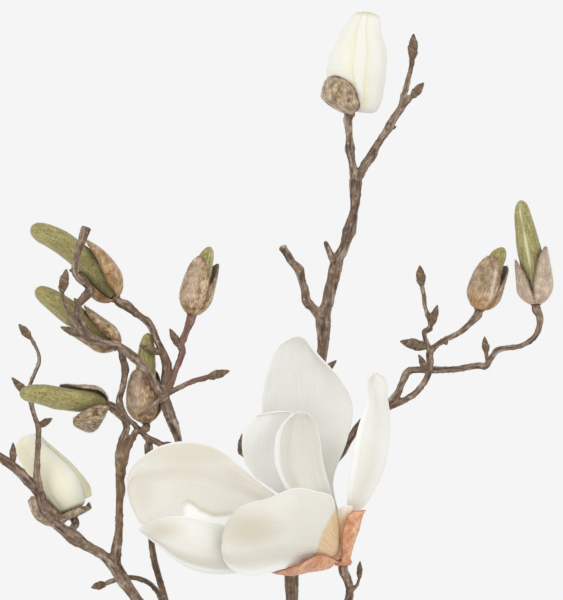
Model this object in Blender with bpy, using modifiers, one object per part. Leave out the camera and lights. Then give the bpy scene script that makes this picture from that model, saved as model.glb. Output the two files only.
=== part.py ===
"""Flowering magnolia branches in a plain vase: one open white bloom, two white buds, and seven furry
scale buds with green tips on bare, knotty branches.

Every length below is in millimetres and becomes metres in the model. +Z is up, the front faces -Y,
and the origin is the centre of the vase's flat foot.
"""

import math

import bmesh
import bpy
from mathutils import Vector

MM = 0.001
GAP = 0.3  # clearance between neighbouring pieces
FRONT = Vector((0, -1, 0))

# The vase and its water
VASE_HEIGHT = 200
VASE_WALL = 4
VASE_FLOOR = 6
VASE_FOOT_RADIUS = 36
VASE_OUTSIDE = [(0, 36), (3, 38), (25, 46), (65, 54), (100, 53), (140, 43), (172, 34.5), (188, 34), (200, 37)]
VASE_STEPS = 32
WATER_TOP = 125
STEM_HOLE = 0.6  # how much wider than the stem its hole in the water is, all round
STEM_FOOT = VASE_FLOOR + 2 * GAP

# Thin parts
TEPAL_THICKNESS = 0.9
BRACT_THICKNESS = 0.9
KNOB_LENGTH = 2.5
SEAT_RUN = 1.8

# Left branch, from its cut end in the vase. Each point is x, y, z and the diameter there.
LEFT_TRUNK = [
    (-6, -12, STEM_FOOT, 7.5), (-8, -12, 60, 7.5), (-11, -12, 120, 7.2), (-16, -13, 170, 7),
    (-22, -14, 200, 6.8), (-32, -14, 226, 6.5), (-45, -13, 247, 6.0), (-55, -12, 259, 5.1),
    (-61.5, -11, 267.5, 5.8), (-64, -11, 271.5, 7), (-67.5, -11, 277, 6.5), (-72.5, -12, 282, 5),
    (-82.5, -12, 288, 5.2), (-87.5, -13, 291.5, 7.6), (-94, -14, 296, 5.5), (-97.5, -14, 299, 5.5),
    (-102.5, -15, 306, 6), (-106, -16, 315, 5.4), (-110, -17, 319, 5), (-115, -18, 324.5, 5),
    (-120, -19, 328.5, 4.5), (-125, -20, 332, 4.6), (-131, -21, 335.5, 4), (-137, -22, 340, 3.4),
]
LEFT_UPRIGHT = [
    (-67.2, -11, 277, 5), (-66.8, -11, 285, 5.4), (-66, -10, 290, 5), (-65.4, -10, 296, 4),
    (-65, -10, 310, 3.6), (-64.5, -10, 315, 5), (-65, -9, 320, 4.4), (-64.6, -9, 325, 5.4),
    (-65.5, -9, 330, 4), (-65.3, -8, 335, 3.5), (-63.8, -7, 340, 3.4), (-61.6, -5, 346, 3.4),
    (-62.5, -4, 351, 3.8), (-65, -1, 357.5, 4), (-65.2, 1, 361, 3.4), (-64, 3, 365, 3),
    (-63, 4, 370, 3.4), (-62.5, 5, 376, 4), (-64, 6, 382, 3.4), (-65.5, 6, 386, 4),
]
LEFT_FORK = [
    (-64, -9, 325, 3), (-62, -9, 330, 3), (-61, -8, 335, 3), (-59, -6, 340, 3.4),
    (-56.5, -1, 344.5, 3.4), (-53.5, 5, 345, 3.6), (-52, 9, 348, 4.2),
]
LEFT_CROSS_TWIG = [
    (-63, -4, 352.5, 2.4), (-58.5, -3, 348.5, 2.6), (-55, -1, 345, 3), (-51.5, -1, 341.5, 3),
    (-47.5, -1.5, 339.5, 3), (-43.5, -2, 337.4, 3.6), (-40.5, -2, 337, 4.8), (-38, -2, 336.4, 3.8),
]
LEFT_STUB = [(-52.5, -1, 342, 2.8), (-50.6, 1, 339.5, 3.4), (-50.8, 2, 336, 4.6), (-50.8, 2, 331.6, 3.8)]
LEFT_BUD_C_STEM = [(-62.5, -4, 350.5, 4.4), (-66.5, -6, 354.6, 4.8), (-71, -8, 357.5, 4.7)]
LEFT_BUD_H_STEM = [(-88, -13, 291.5, 4), (-88.5, -7, 296, 3.6), (-88, -0.5, 300.5, 4.2)]
LEFT_THIN_TWIG = [
    (-105, -15.5, 315, 4.4), (-106, -16, 320, 4), (-106, -17, 330, 3), (-105.5, -17, 340, 2.8),
    (-105.5, -17, 346.5, 3.2), (-107, -17, 351, 2.5), (-109.5, -17, 360, 2.5), (-110, -17, 366, 2.3),
    (-107, -17, 374, 2.2), (-105.3, -17, 378, 2.2), (-105, -17, 381, 2), (-106, -17, 385, 1.9),
    (-110, -17, 392, 1.8),
]
LEFT_LEAF_BUDS = [
    ((-137, -22, 340), (-142, -22, 346.5), 4),
    ((-118.2, -19, 328), (-118, -19, 339), 3.6),
    ((-109.5, -17, 391), (-115.2, -17, 398), 4.2),
    ((-109.6, -17, 361.4), (-118.8, -18, 371.4), 4.2),
    ((-105.5, -17, 347), (-98.5, -18, 351), 3.8),
]

# Cluster branch: the stem behind the bloom and the knot of twigs at the upper left.
CLUSTER_STEM = [
    (-2, 13, STEM_FOOT, 5.6), (-5, 13, 60, 5.6), (-10, 13, 120, 5.2), (-17, 12, 170, 5),
    (-23, 12, 200, 4.5), (-32, 12, 226, 4), (-39, 12, 246, 3.6), (-42.5, 12, 260, 3.3),
    (-45.4, 12, 270, 3.4), (-48.6, 12, 282.5, 3.4), (-49.4, 12, 290, 3.3), (-48.9, 12, 300, 3.4),
    (-46, 12, 312, 3.5), (-41, 11, 324, 3.7), (-37.4, 9, 332.5, 4), (-35.8, 6, 339, 3.8),
    (-37.1, 5, 344, 4.6), (-38.2, 4, 347.5, 5.4), (-40.1, 3, 352.5, 5.8), (-41.9, 2, 357.5, 5.8),
    (-43.5, 1, 362.5, 5.4),
]
BUD_A_STEM = [
    (-43.5, 1, 361.5, 4.4), (-42.6, 3, 370, 4.4), (-41.6, 4, 377, 5.2), (-43.2, 5, 382.5, 4.2),
    (-47.2, 6, 391, 3.6), (-49.2, 6, 396, 3.4), (-51.4, 7, 399.2, 4), (-54, 7, 401.2, 3.3),
    (-58.6, 8, 404.6, 4.2), (-62.4, 8, 407.6, 5.4), (-66.6, 8, 410, 4.6),
]
CLUSTER_TWIG_LONG = [
    (-43.5, 1, 362, 4.4), (-47, -1, 367, 4.5), (-50, -2, 372, 4.4), (-53.5, -3, 377, 4.4),
    (-60, -4, 383, 4.6), (-65, -5, 386.5, 4.2), (-75, -6, 389.2, 4), (-81.5, -6, 394, 4.4),
    (-84.5, -6, 398, 4.4), (-86, -6, 403, 4), (-85.5, -6, 408, 3.5), (-82.6, -6, 411.5, 4.6),
    (-80, -6, 414.8, 4.6), (-81.2, -6, 417.6, 3.8), (-85, -6, 420, 3.2), (-87.5, -6, 424, 3.2),
    (-87.3, -6, 429, 3), (-86, -6, 434, 3.4), (-83.8, -6, 440, 4.4), (-81.6, -6, 446.6, 5.2),
]
CLUSTER_TWIG_THIN = [
    (-74, -6, 388.5, 2.6), (-80, -7, 389.5, 2.5), (-84, -8, 393, 2.5), (-87, -8, 397, 2.4),
    (-92, -8, 407, 2.3), (-93.5, -8, 411, 2.2), (-93.5, -8, 414, 2.2),
]
BUD_D_STEM = [
    (-43, 1, 363, 3.6), (-39.7, 1, 368, 3.4), (-37.1, 1, 375, 3.1), (-34.4, 1, 382, 3.2),
    (-33.8, 1, 385, 3.4), (-34.7, 1, 387.5, 4.2), (-33.2, 1, 391, 3.2), (-31.2, 2, 396, 3.6), (-29.3, 2, 402, 4.8),
]
CLUSTER_SHORT_TWIG = [
    (-43, 0, 362.5, 3), (-37, -1, 365.4, 2.8), (-28.5, -1, 369.4, 2.7), (-21, -1, 371.3, 3),
]
CLUSTER_FINE_TWIG = [(-44, 0, 361.5, 2.2), (-47.5, -2, 358, 2), (-51, -3, 355, 2), (-56, -4, 351.8, 1.8)]
CLUSTER_LOW_TWIG = [
    (-43.4, 12, 257, 2.8), (-46.2, 8, 263.5, 2.8), (-50.4, 3, 268.3, 2.8), (-59, -2, 271.3, 2.7),
    (-64, -4, 271.2, 2.5), (-72.5, -4, 268.2, 2.5),
]
CLUSTER_LEAF_BUDS = [
    ((-44, 4.4, 383.2), (-55.4, 1.6, 387.4), 4),
    ((-94, -8, 413.6), (-91.6, -8, 425.5), 5),
    ((-84.4, -8, 392.4), (-94.6, -8, 396.6), 4),
    ((-85.5, -6.5, 408), (-88, -6.5, 411), 2.2),
    ((-87.5, -6, 424.5), (-90.4, -6, 425), 2.2),
    ((-21.4, -1, 371.3), (-10.2, -1, 374.6), 4.6),
    ((-35.2, 0.5, 386.4), (-40.2, 0, 395.7), 4),
    ((-72, -4, 268.2), (-79.4, -4, 266.3), 4.2),
]

# Right branch: the middle stem with everything above and to the right of it.
RIGHT_TRUNK = [
    (12, 2, STEM_FOOT, 7.5), (12.5, 2, 60, 7.5), (14, 3, 120, 7.2), (16, 5, 170, 7),
    (18, 8, 200, 6.8), (20, 11, 230, 6.5), (21, 14, 260, 6.2), (20.8, 16, 268, 7.2),
    (20.8, 17, 276, 7.4), (22, 21, 290, 6.2), (25, 24, 320, 6), (29.2, 25, 350, 5.8), (33.8, 25, 372, 5.8),
    (36.4, 24, 386, 5.4), (36.8, 24, 392, 6.4), (36.7, 24, 398, 8), (36.9, 24, 403, 7.8), (38.6, 24, 407, 6),
    (39.5, 24, 412, 6.2), (41.5, 23, 420, 6.2), (43, 22, 427, 7), (44.2, 22, 431, 5.9),
    (46.8, 22, 435.5, 5.2), (48.2, 21, 440, 5), (49.7, 21, 444.5, 6.8), (50.9, 21, 449, 5.4),
    (52, 20, 454, 4), (52.7, 20, 460, 5.4), (52.8, 20, 465, 6.2), (53, 20, 470.5, 6.6),
    (52, 19, 475, 4.2), (51, 18, 480, 3.7), (50, 18, 486, 5.2), (49.7, 17, 492.5, 3.3),
    (49.3, 17, 497.5, 4.2), (49.5, 17, 502, 4.8),
]
RIGHT_LEFT_FORK = [
    (36, 24, 400, 5), (31.5, 23, 406, 4.1), (28.5, 23, 409, 4.8), (27.5, 22, 415, 4), (26, 22, 420, 4),
    (24.6, 21, 425.5, 4.8), (21, 21, 429, 4), (18.5, 21, 433, 4), (15.8, 20, 437, 4.2),
]
RIGHT_SPUR = [(42.5, 22, 428, 3.6), (39.2, 21, 435.5, 3.2), (37.6, 21, 439.4, 2.4)]
RIGHT_LOW_SPUR = [(20, 17, 273.5, 3), (15.5, 16.5, 274, 2.2), (12, 16, 275, 1.6)]
RIGHT_HIDDEN_TWIG = [(25, 24, 318, 2.6), (12, 21, 322, 2.4), (2, 17, 328, 2.2), (-4.8, 14, 333.6, 2.4)]
RIGHT_TOP_TWIG = [
    (53.4, 20, 469.5, 4.6), (57.8, 20, 478, 4.4), (61, 20, 482.3, 5.2), (63.5, 19, 487.5, 3.8),
    (66.4, 19, 491.7, 3.6), (69.5, 19, 496.2, 4.8), (72, 18, 501, 3.6), (76.4, 18, 508, 4.2),
    (76.7, 18, 511.5, 3), (77.9, 18, 515, 3), (79, 17, 520, 2.6), (80.4, 17, 525, 2.4),
    (81.4, 17, 531, 3.2),
]
RIGHT_TOP_SIDE = [(77, 18, 507.5, 3), (80, 17, 511, 2.5), (81.5, 17, 513, 2.6)]
RIGHT_SIDE_BRANCH = [
    (25, 24, 306, 5), (34, 25, 318, 5), (41, 24, 326, 4.8), (47, 24, 332.5, 4.6), (50, 23, 340, 4.5),
    (53.5, 23, 346.5, 4.5), (61, 22, 352.5, 4.4), (68.5, 21, 356.5, 4.6), (71.5, 20, 360, 4),
    (74.5, 20, 364, 3.8), (76, 20, 368, 3.5), (80, 19, 374.5, 3.8), (84, 19, 375, 3.5),
    (95, 18, 374.9, 3.4), (102.5, 18, 375.2, 3.2), (115, 17, 377, 3.3), (118, 17, 376.8, 3.9),
    (120.2, 17, 379.8, 2.8), (124.3, 16, 385, 3.2), (129, 16, 386, 2.7), (135, 16, 386.8, 2.6),
    (139.2, 15, 388.7, 2.7), (143, 15, 392, 3), (145, 15, 397, 3.2), (145, 15, 402, 3.6),
    (143.3, 15, 407, 4.6),
]
RIGHT_LOW_TWIG = [
    (68.5, 21, 356.5, 4), (73.5, 20, 358, 3.5), (78.5, 18, 360.5, 3.3), (83, 16, 363.5, 3.3),
    (86.5, 15, 367.5, 3.2), (89, 14, 372, 3.2), (90.3, 14, 378, 3.4), (90.3, 14, 384, 3.9),
    (93, 14, 387, 2.8), (96.5, 14, 389.5, 2.7), (104, 14, 393.1, 2.8), (107.5, 14, 395.7, 3),
    (111, 14, 399, 3.5), (114.5, 14, 404.5, 4.8),
]
RIGHT_ZIGZAG_TWIG = [
    (90.3, 14, 383.5, 2.8), (88.5, 14, 388.5, 2.6), (87.4, 14, 392, 2.4), (87.3, 14, 394.1, 3),
    (90.1, 14, 395.6, 3), (90.3, 14, 398, 2.4), (89, 14, 402.5, 2.3), (87.5, 13, 407.5, 2.2),
    (87, 13, 412.5, 2.2), (86, 13, 417.5, 2.4),
]
BLOOM_STEM = [
    (20, 10, 222, 5.6), (27, 8, 232, 5), (38, 5, 246, 4.5), (47, 3, 256, 4.3), (49.8, 2, 262, 4),
    (49.8, 1, 266, 4), (48.6, 0, 270.5, 4.4), (46.5, -3, 277, 5),
]
BLOOM_STEM_TWIG = [(50.3, 1, 264, 2), (53.5, 0, 267.5, 1.8), (54.6, 0, 271, 1.8)]
RIGHT_LEAF_BUDS = [
    ((33.5, 25, 370), (43.3, 21, 379.8), 4.4),
    ((-5, 14, 332.5), (-4, 13, 343), 3.4),
    ((81.4, 17, 530.5), (82, 17, 543.5), 5.2),
    ((81, 17, 511.6), (87.1, 17, 519), 4.6),
    ((70.5, 19, 496), (73.5, 18.5, 497), 2),
    ((119.2, 17, 377), (117.5, 17, 391.7), 4),
    ((86, 13, 417), (85, 13, 427.3), 4.9),
    ((90.4, 14, 396.6), (94, 14, 407.5), 4.2),
    ((88.6, 14, 386.4), (75.2, 13, 389.3), 5.8),
    ((89.4, 14, 373), (84.4, 13, 382.7), 3.8),
    ((97.5, 14, 390.2), (98.6, 13.5, 387.4), 2.8),
    ((54.6, 0, 270.5), (55, 0, 279.5), 3),
]

# Scale buds. The axis runs from the twig's end to the tip of the green core. The core's radius is
# given at fractions of that axis. A bract is: the way it faces round the axis in degrees (0 front,
# 90 right or up, 180 back), the half angle it wraps, its length, its widest radius, its tip's radius
# and how blunt its tip is.
SCALE_BUDS = {
    "a": (
        [(-66.6, 8, 410), (-73, 8, 417.8), (-79.6, 8, 427), (-87, 8, 433.3), (-94.5, 8, 438.9), (-101.5, 7.5, 442.6),
         (-109.8, 7, 446.2)],
        [(0, 3), (0.25, 5.8), (0.5, 6.1), (0.75, 5.8), (0.9, 5.1), (1, 2.9)],
        [(85, 72, 30, 10.2, 8.2, 2.4), (-95, 66, 26, 8.6, 7.8, 2.4)],
    ),
    "b": (
        [(-65.5, 6, 386), (-71, 6, 390.6), (-77, 6, 395), (-84.8, 5.5, 400), (-92.8, 5, 405.6), (-100, 4.5, 410.8),
         (-107.3, 4, 415.4)],
        [(0, 3), (0.25, 5.4), (0.5, 6.2), (0.75, 5.6), (0.9, 4.5), (1, 2.6)],
        [(80, 75, 25, 6.6, 6.9, 2.4), (-86, 72, 26, 8.6, 8.4, 3)],
    ),
    "c": (
        [(-71, -8, 357.5), (-78, -11, 359.5), (-87, -16, 360), (-95, -20, 361), (-102.5, -24, 362.8),
         (-108.5, -26.5, 363.5), (-114.4, -29, 363)],
        [(0, 3), (0.25, 5.8), (0.5, 6), (0.75, 5.2), (0.9, 4.2), (1, 2.4)],
        [(112, 66, 25, 7.6, 7.2, 2.4), (-82, 66, 19, 15.3, 11.2, 6)],
    ),
    "d": (
        [(-29.3, 2, 402), (-27.4, 2, 411), (-25, 2, 420), (-22.6, 2, 429), (-19.8, 2, 436.6)],
        [(0, 3), (0.3, 5.4), (0.6, 5.2), (0.85, 3.8), (1, 1.8)],
        [(-28, 80, 28.5, 7.8, 6, 2.4), (112, 76, 27.5, 8.2, 7, 2.4)],
    ),
    "g": (
        [(-52, 9, 348), (-52.8, 9, 360), (-52.5, 9, 372), (-51.8, 9, 384), (-51, 9, 393.5)],
        [(0, 3), (0.3, 6), (0.6, 5.2), (0.85, 4), (1, 2)],
        [(-30, 86, 26, 8.9, 6.6, 2.4), (150, 82, 26, 8.5, 6.6, 2.4)],
    ),
    "j": (
        [(114.6, 14, 404.4), (116.8, 14, 412.5), (119.5, 14, 421), (122.8, 14, 429), (127.2, 14, 436.2)],
        [(0, 3), (0.3, 5.6), (0.6, 5.4), (0.85, 4.2), (1, 1.9)],
        [(-20, 82, 27, 8.2, 5.8, 2.4), (120, 74, 25.5, 8.8, 7.2, 2.4)],
    ),
    "k": (
        [(143.3, 15, 407), (142.8, 15, 415), (141.7, 15, 425), (139.9, 15, 435), (138, 15, 445),
         (136.6, 15, 453), (135.8, 15, 460)],
        [(0, 3), (0.35, 6.2), (0.55, 6.1), (0.72, 5.2), (0.9, 4), (1, 2)],
        [(-92, 58, 23, 8.7, 7.6, 2.4), (92, 74, 27, 9, 8.6, 2.4)],
    ),
}

# White buds: the axis, the radius at fractions of it, and the bracts as above.
WHITE_BUDS = {
    "left": (
        [(-88, 0, 300.5), (-91.5, 0.5, 309), (-96.5, 1, 318), (-103, 1, 326.8), (-109, 1, 334.8), (-113, 1, 342)],
        [(0, 2), (0.07, 6.4), (0.17, 10), (0.28, 11.9), (0.42, 12), (0.6, 10.2), (0.8, 8), (0.93, 7), (1, 5)],
        [(110, 30, 6, 11.2, 11.2, 2.4)],
    ),
    "top": (
        [(49.5, 17, 502), (51.5, 17, 509), (53, 17, 517.5), (54.5, 17, 530), (56.3, 17, 540), (57.8, 17, 548),
         (58.7, 17, 554.5)],
        [(0, 2), (0.065, 4.6), (0.16, 11.3), (0.3, 14.8), (0.52, 14.6), (0.72, 12), (0.88, 8.2), (1, 5)],
        [(-44, 58, 18, 17, 16, 2.4)],
    ),
}
WHITE_BUD_START = 3.4

# The open scoop below the left white bud, in rows as for a tepal.
LEFT_SCOOP = [
    ((-87.5, -2, 302.4), (-89.8, 0, 302), (-87.5, 2, 302.4)),
    ((-92, -7.6, 302), (-96, 0, 297), (-92, 8, 302)),
    ((-97, -9.6, 306.5), (-104, 0, 298.8), (-97, 10, 306)),
    ((-102, -9.8, 309.8), (-108.8, 0, 303.6), (-102, 10.2, 309.4)),
    ((-109, -5, 312), (-110.8, 0, 309.6), (-109, 5, 311.6)),
]

# Bloom. A tepal is a list of rows from its claw to its tip, and a row is one edge, the middle and the
# other edge.
BLOOM_BASE = [(46.4, -3.3, 280.7, 5), (46.3, -3.5, 282, 7), (45.9, -4.4, 284.5, 10), (45.2, -5.6, 288, 13),
              (44.4, -7, 291.5, 12.5)]
TEPALS = {
    "back": [
        ((41, -4, 288), (44, -2, 287), (47, -3, 288)),
        ((30, 4, 302), (38, 5, 299), (45, 3, 301)),
        ((17, 6, 320), (30, 12, 317), (41.5, 4, 320)),
        ((8, 3, 340), (29, 14, 338), (48.6, 3, 340)),
        ((6, -1, 358), (29, 10, 358), (51, 0, 357)),
        ((9, -4, 375), (28, 5, 376), (45, -2, 370)),
        ((13.5, -5, 386), (25, 1, 388), (34, -4, 381.5)),
        ((20.5, -5, 391), (24.5, -3, 391.8), (28, -4, 390)),
    ],
    "right": [
        ((46, -8, 288), (48.6, -6, 287), (48.6, -3.6, 288)),
        ((48, -9, 301), (51, -6, 300), (51.5, -1, 301)),
        ((48.5, -12, 311), (58, -5, 310), (58, 4, 312)),
        ((50, -14, 325), (65, -3, 324), (63, 10, 325)),
        ((52.5, -14, 340), (68, -2, 339), (66, 13, 339)),
        ((57, -12, 351), (68.2, 0, 352), (66.5, 12, 351)),
        ((60.5, -9, 358), (67.2, 1, 361), (65.5, 9, 360)),
        ((61, -6, 366), (65.4, 1, 368.5), (64, 6, 368)),
        ((60.5, -4, 370), (63, 1, 372.6), (62, 4, 371.5)),
        ((58.8, -3, 367.5), (59.4, 0, 369.5), (59.5, 3, 368)),
    ],
    "left_upper": [
        ((41, -7, 289), (42, -9, 286), (43, -11, 285)),
        ((30, -10, 302), (32, -15, 294), (34, -20, 291)),
        ((10, -17, 315), (14, -24, 302), (16, -34, 294)),
        ((-2, -18, 325), (-2, -28, 308), (0, -42, 296)),
        ((-16, -17, 336), (-17, -31, 312), (-17, -45, 296.5)),
        ((-30, -17, 339.5), (-32, -33, 314), (-31, -45, 297.5)),
        ((-45, -19, 337), (-47, -33, 313), (-44, -43, 297)),
        ((-57, -23, 329), (-57, -34, 312), (-50, -41, 297.6)),
        ((-61.5, -26, 321), (-60, -33, 310), (-54.4, -39, 298.6)),
    ],
    "left_lower": [
        ((42, -10, 287), (42, -11, 284.5), (43, -10, 283)),
        ((30, -24, 292), (30, -28, 285), (31, -24, 281)),
        ((12, -40, 296.5), (11, -45, 284), (12, -37, 276.2)),
        ((-7, -50, 297), (-7, -55, 285), (-4, -47, 274.6)),
        ((-23, -53, 301), (-23, -59, 287.5), (-20, -50, 274.4)),
        ((-35, -52, 302.8), (-36, -57, 290.5), (-33, -50, 278.4)),
        ((-46, -50, 301), (-46, -54, 294), (-43.8, -49, 286.6)),
        ((-54, -48, 297.6), (-55.2, -49, 296.2), (-54, -48, 294.8)),
    ],
    "front": [
        ((46, -8.6, 287), (45, -8.6, 285), (44, -7, 283.6)),
        ((45, -13.5, 295), (42, -17, 287), (39, -13, 281)),
        ((43, -18, 303), (38, -25, 291), (34, -19, 280)),
        ((41, -22, 312), (34, -32, 295), (29, -25, 279.6)),
        ((33, -28, 315), (26, -42, 297), (21, -34, 277.4)),
        ((22, -37, 316.5), (15, -52, 297), (13, -43, 275.5)),
        ((9, -47, 311.5), (4, -60, 295), (4, -51, 273.5)),
        ((-1, -54, 309), (-6, -65, 293), (-4, -57, 274)),
        ((-8, -58, 304.5), (-12, -65, 291), (-10, -60, 277.5)),
        ((-12, -60, 297), (-14, -62, 289.5), (-13.2, -60, 282)),
    ],
    "inner_left": [
        ((41, -4.4, 290), (43, -3, 289), (45, -3.6, 289)),
        ((29, -6, 303), (34, -2, 300), (39, -3, 303)),
        ((12, -11, 315), (20, -4, 313), (28, -4, 316)),
        ((2, -11, 322), (12, -3, 322), (23, -4, 325)),
        ((-3.5, -11, 332), (8, -2, 333), (22, -3, 336)),
        ((-3.5, -12, 344), (9, -4, 345), (24, -3, 346)),
        ((1, -12, 350.5), (11, -6, 353), (23, -4, 352.5)),
        ((7, -10, 353), (12, -8, 354), (19, -6, 354)),
    ],
    "inner_right": [
        ((43, -4, 290), (45, -3.6, 289), (47.6, -5.6, 290)),
        ((34, -8, 304), (39, -4.6, 301), (43.5, -6.4, 303)),
        ((20, -18, 314), (30, -10, 312), (40.4, -11, 315)),
        ((13.5, -20, 325), (26, -9, 323), (37.6, -11, 325)),
        ((12, -20, 334), (24.5, -8, 333), (35.6, -11, 335)),
        ((13, -19, 343), (24.5, -8, 343), (34.4, -11, 343)),
        ((16.5, -17, 349), (24.5, -9, 350.5), (32, -11, 349.8)),
        ((21.5, -14, 353), (25, -11, 354.5), (28.6, -12, 353.4)),
    ],
    "inner_front": [
        ((41.4, -11, 290), (41.4, -11, 288), (42.4, -10, 286.6)),
        ((31, -22, 300), (31, -23, 293), (33, -20, 288)),
        ((20, -28, 306), (19, -34, 295), (21, -28, 287)),
        ((9, -35, 307), (8, -42, 296), (11, -37, 287)),
        ((1, -40, 304), (0, -45, 297), (2, -43, 290)),
    ],
}
CORE_ROWS = 8
BRACT_ROWS = 6
BRACT_COLUMNS = 4
TEPAL_ROWS = 9
TEPAL_COLUMNS = 5
BLOOM_BRACT_LOW = [
    ((44.4, -7, 279.2), (42.8, -5.5, 279), (43, -1.5, 279)),
    ((38.5, -20, 281.2), (38, -15.5, 276.4), (39, -6, 275.8)),
    ((33, -29.5, 281.8), (30.5, -25, 275.4), (30, -13, 273.8)),
    ((23, -38.5, 276.4), (21, -30, 272.8), (21, -20, 272.8)),
    ((12, -35, 273.4), (11, -31, 273), (12, -27, 273)),
]
BLOOM_BRACT_RIGHT = [
    ((46, -7.4, 279), (49.4, -6, 279), (50.4, -2, 279)),
    ((46.6, -13.5, 285), (53, -11, 284.5), (55, -5, 285)),
    ((45.5, -17.5, 294), (51, -16.5, 294), (57, -11, 294)),
    ((48.5, -18.5, 301), (54, -16.8, 301), (58, -13, 301)),
    ((51.5, -18.5, 305), (54.5, -17, 305.5), (57.5, -15.5, 305)),
]
BLOOM_KNOB = [(46.5, -3.05, 277.4, 7.6), (46.45, -3.15, 279, 9.6), (46.4, -3.3, 280.3, 8)]
HEART_FOOT = (43.4, -8.2, 292)
HEART_AXIS = Vector((-0.52, -0.5, 0.69)).normalized()
HEART_LENGTH = 15
HEART_RADIUS = 2.4
STAMENS = 20
CARPELS = 12


def clear_scene():
    for old in list(bpy.data.objects):
        bpy.data.objects.remove(old, do_unlink=True)


def collection(name):
    made = bpy.data.collections.new(name)
    bpy.context.scene.collection.children.link(made)
    return made


def material(name, colour, roughness):
    made = bpy.data.materials.new(name)
    made.use_nodes = True
    shader = made.node_tree.nodes["Principled BSDF"]
    shader.inputs["Base Color"].default_value = (*colour, 1)
    shader.inputs["Roughness"].default_value = roughness
    shader.inputs["Metallic"].default_value = 0
    return made


def add_object(name, mesh, home):
    made = bpy.data.objects.new(name, mesh)
    home.objects.link(made)
    return made


def as_mesh(source, name, home):
    """Makes a plain mesh object of what the source evaluates to, welds it and removes the source."""
    bpy.context.view_layer.update()
    graph = bpy.context.evaluated_depsgraph_get()
    mesh = bpy.data.meshes.new_from_object(source.evaluated_get(graph))
    work = bmesh.new()
    work.from_mesh(mesh)
    bmesh.ops.remove_doubles(work, verts=work.verts, dist=1e-7)
    work.to_mesh(mesh)
    work.free()
    made = add_object(name, mesh, home)
    made.matrix_world = source.matrix_world.copy()
    bpy.data.objects.remove(source, do_unlink=True)
    return made


def tube(name, points, home, resolution=1):
    """A tapered round tube through points of x, y, z and diameter, closed at both ends."""
    curve = bpy.data.curves.new(name + "_curve", "CURVE")
    curve.dimensions = "3D"
    curve.bevel_depth = MM
    curve.bevel_resolution = resolution
    curve.use_fill_caps = True
    spline = curve.splines.new("POLY")
    spline.points.add(len(points) - 1)
    for spot, (x, y, z, diameter) in zip(spline.points, points):
        spot.co = (x * MM, y * MM, z * MM, 1)
        spot.radius = diameter / 2
    return as_mesh(add_object(name + "_curve", curve, home), name, home)


def leaf_bud(name, base, tip, width, home):
    """A small pointed bud from its base to its tip."""
    start = Vector(base)
    reach = Vector(tip) - start
    shape = [(0, 0.5), (0.22, 0.9), (0.45, 1), (0.75, 0.7), (1, 0.18)]
    points = [(*(start + reach * part), width * wide) for part, wide in shape]
    return tube(name, points, home)


def fuse(name, pieces, home, paint):
    """Joins overlapping closed pieces into one body by a single union."""
    body = pieces[0]
    rest = bpy.data.collections.new(name + "_rest")
    bpy.context.scene.collection.children.link(rest)
    for piece in pieces[1:]:
        for owner in list(piece.users_collection):
            owner.objects.unlink(piece)
        rest.objects.link(piece)
    union = body.modifiers.new("Union", "BOOLEAN")
    union.operation = "UNION"
    union.operand_type = "COLLECTION"
    union.collection = rest
    union.solver = "MANIFOLD"
    made = as_mesh(body, name, home)
    for piece in list(rest.objects):
        bpy.data.objects.remove(piece, do_unlink=True)
    bpy.data.collections.remove(rest)
    finish(made, paint)
    return made


def finish(made, paint):
    made.data.materials.clear()
    made.data.materials.append(paint)
    made.data.shade_smooth()
    made.data.set_sharp_from_angle(angle=math.radians(50))


def seated(route, bud_route):
    """The route of a twig, with its last stretch turned square to the bud that it carries."""
    foot = Vector(bud_route[0])
    heading = (Vector(bud_route[1]) - foot).normalized()
    wide = route[-1][3]
    return route[:-1] + [(*(foot - heading * SEAT_RUN), wide), (*foot, wide)]


def blend(points, at):
    """Reads a smooth curve through evenly spaced points at a place from 0 to 1."""
    spots = [Vector(point) for point in points]
    place = min(max(at, 0), 1) * (len(spots) - 1)
    index = min(int(place), len(spots) - 2)
    part = place - index
    before = spots[max(index - 1, 0)]
    first = spots[index]
    second = spots[index + 1]
    after = spots[min(index + 2, len(spots) - 1)]
    return 0.5 * (
        2 * first
        + (second - before) * part
        + (2 * before - 5 * first + 4 * second - after) * part**2
        + (3 * first - before - 3 * second + after) * part**3
    )


def read_table(table, at):
    """Reads a list of place and value pairs at a place, with straight lines between them."""
    for (low, value), (high, following) in zip(table, table[1:]):
        if at <= high:
            return value + (following - value) * (at - low) / (high - low)
    return table[-1][1]


def sheet(name, rows, thickness, home):
    """A thin closed blade: a grid of points, split into triangles and thickened both ways."""
    work = bmesh.new()
    grid = [[work.verts.new(Vector(point) * MM) for point in row] for row in rows]
    for low, high in zip(grid, grid[1:]):
        for left in range(len(low) - 1):
            work.faces.new((low[left], low[left + 1], high[left + 1], high[left]))
    bmesh.ops.triangulate(work, faces=work.faces)
    mesh = bpy.data.meshes.new(name + "_blade")
    work.to_mesh(mesh)
    work.free()
    blade = add_object(name + "_blade", mesh, home)
    shell = blade.modifiers.new("Thickness", "SOLIDIFY")
    shell.thickness = thickness * MM
    shell.offset = 0
    shell.use_even_offset = False
    return as_mesh(blade, name, home)


def tepal(name, rows, home, along=TEPAL_ROWS, across=TEPAL_COLUMNS, thickness=TEPAL_THICKNESS):
    """A curved blade through rows of edge, middle and edge."""
    grid = []
    for step in range(along + 1):
        left, middle, right = (blend([row[side] for row in rows], step / along) for side in range(3))
        line = []
        for column in range(across + 1):
            side = 2 * column / across - 1
            weights = (side * (side - 1) / 2, 1 - side * side, side * (side + 1) / 2)
            line.append(left * weights[0] + middle * weights[1] + right * weights[2])
        grid.append(line)
    return sheet(name, grid, thickness, home)


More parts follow.
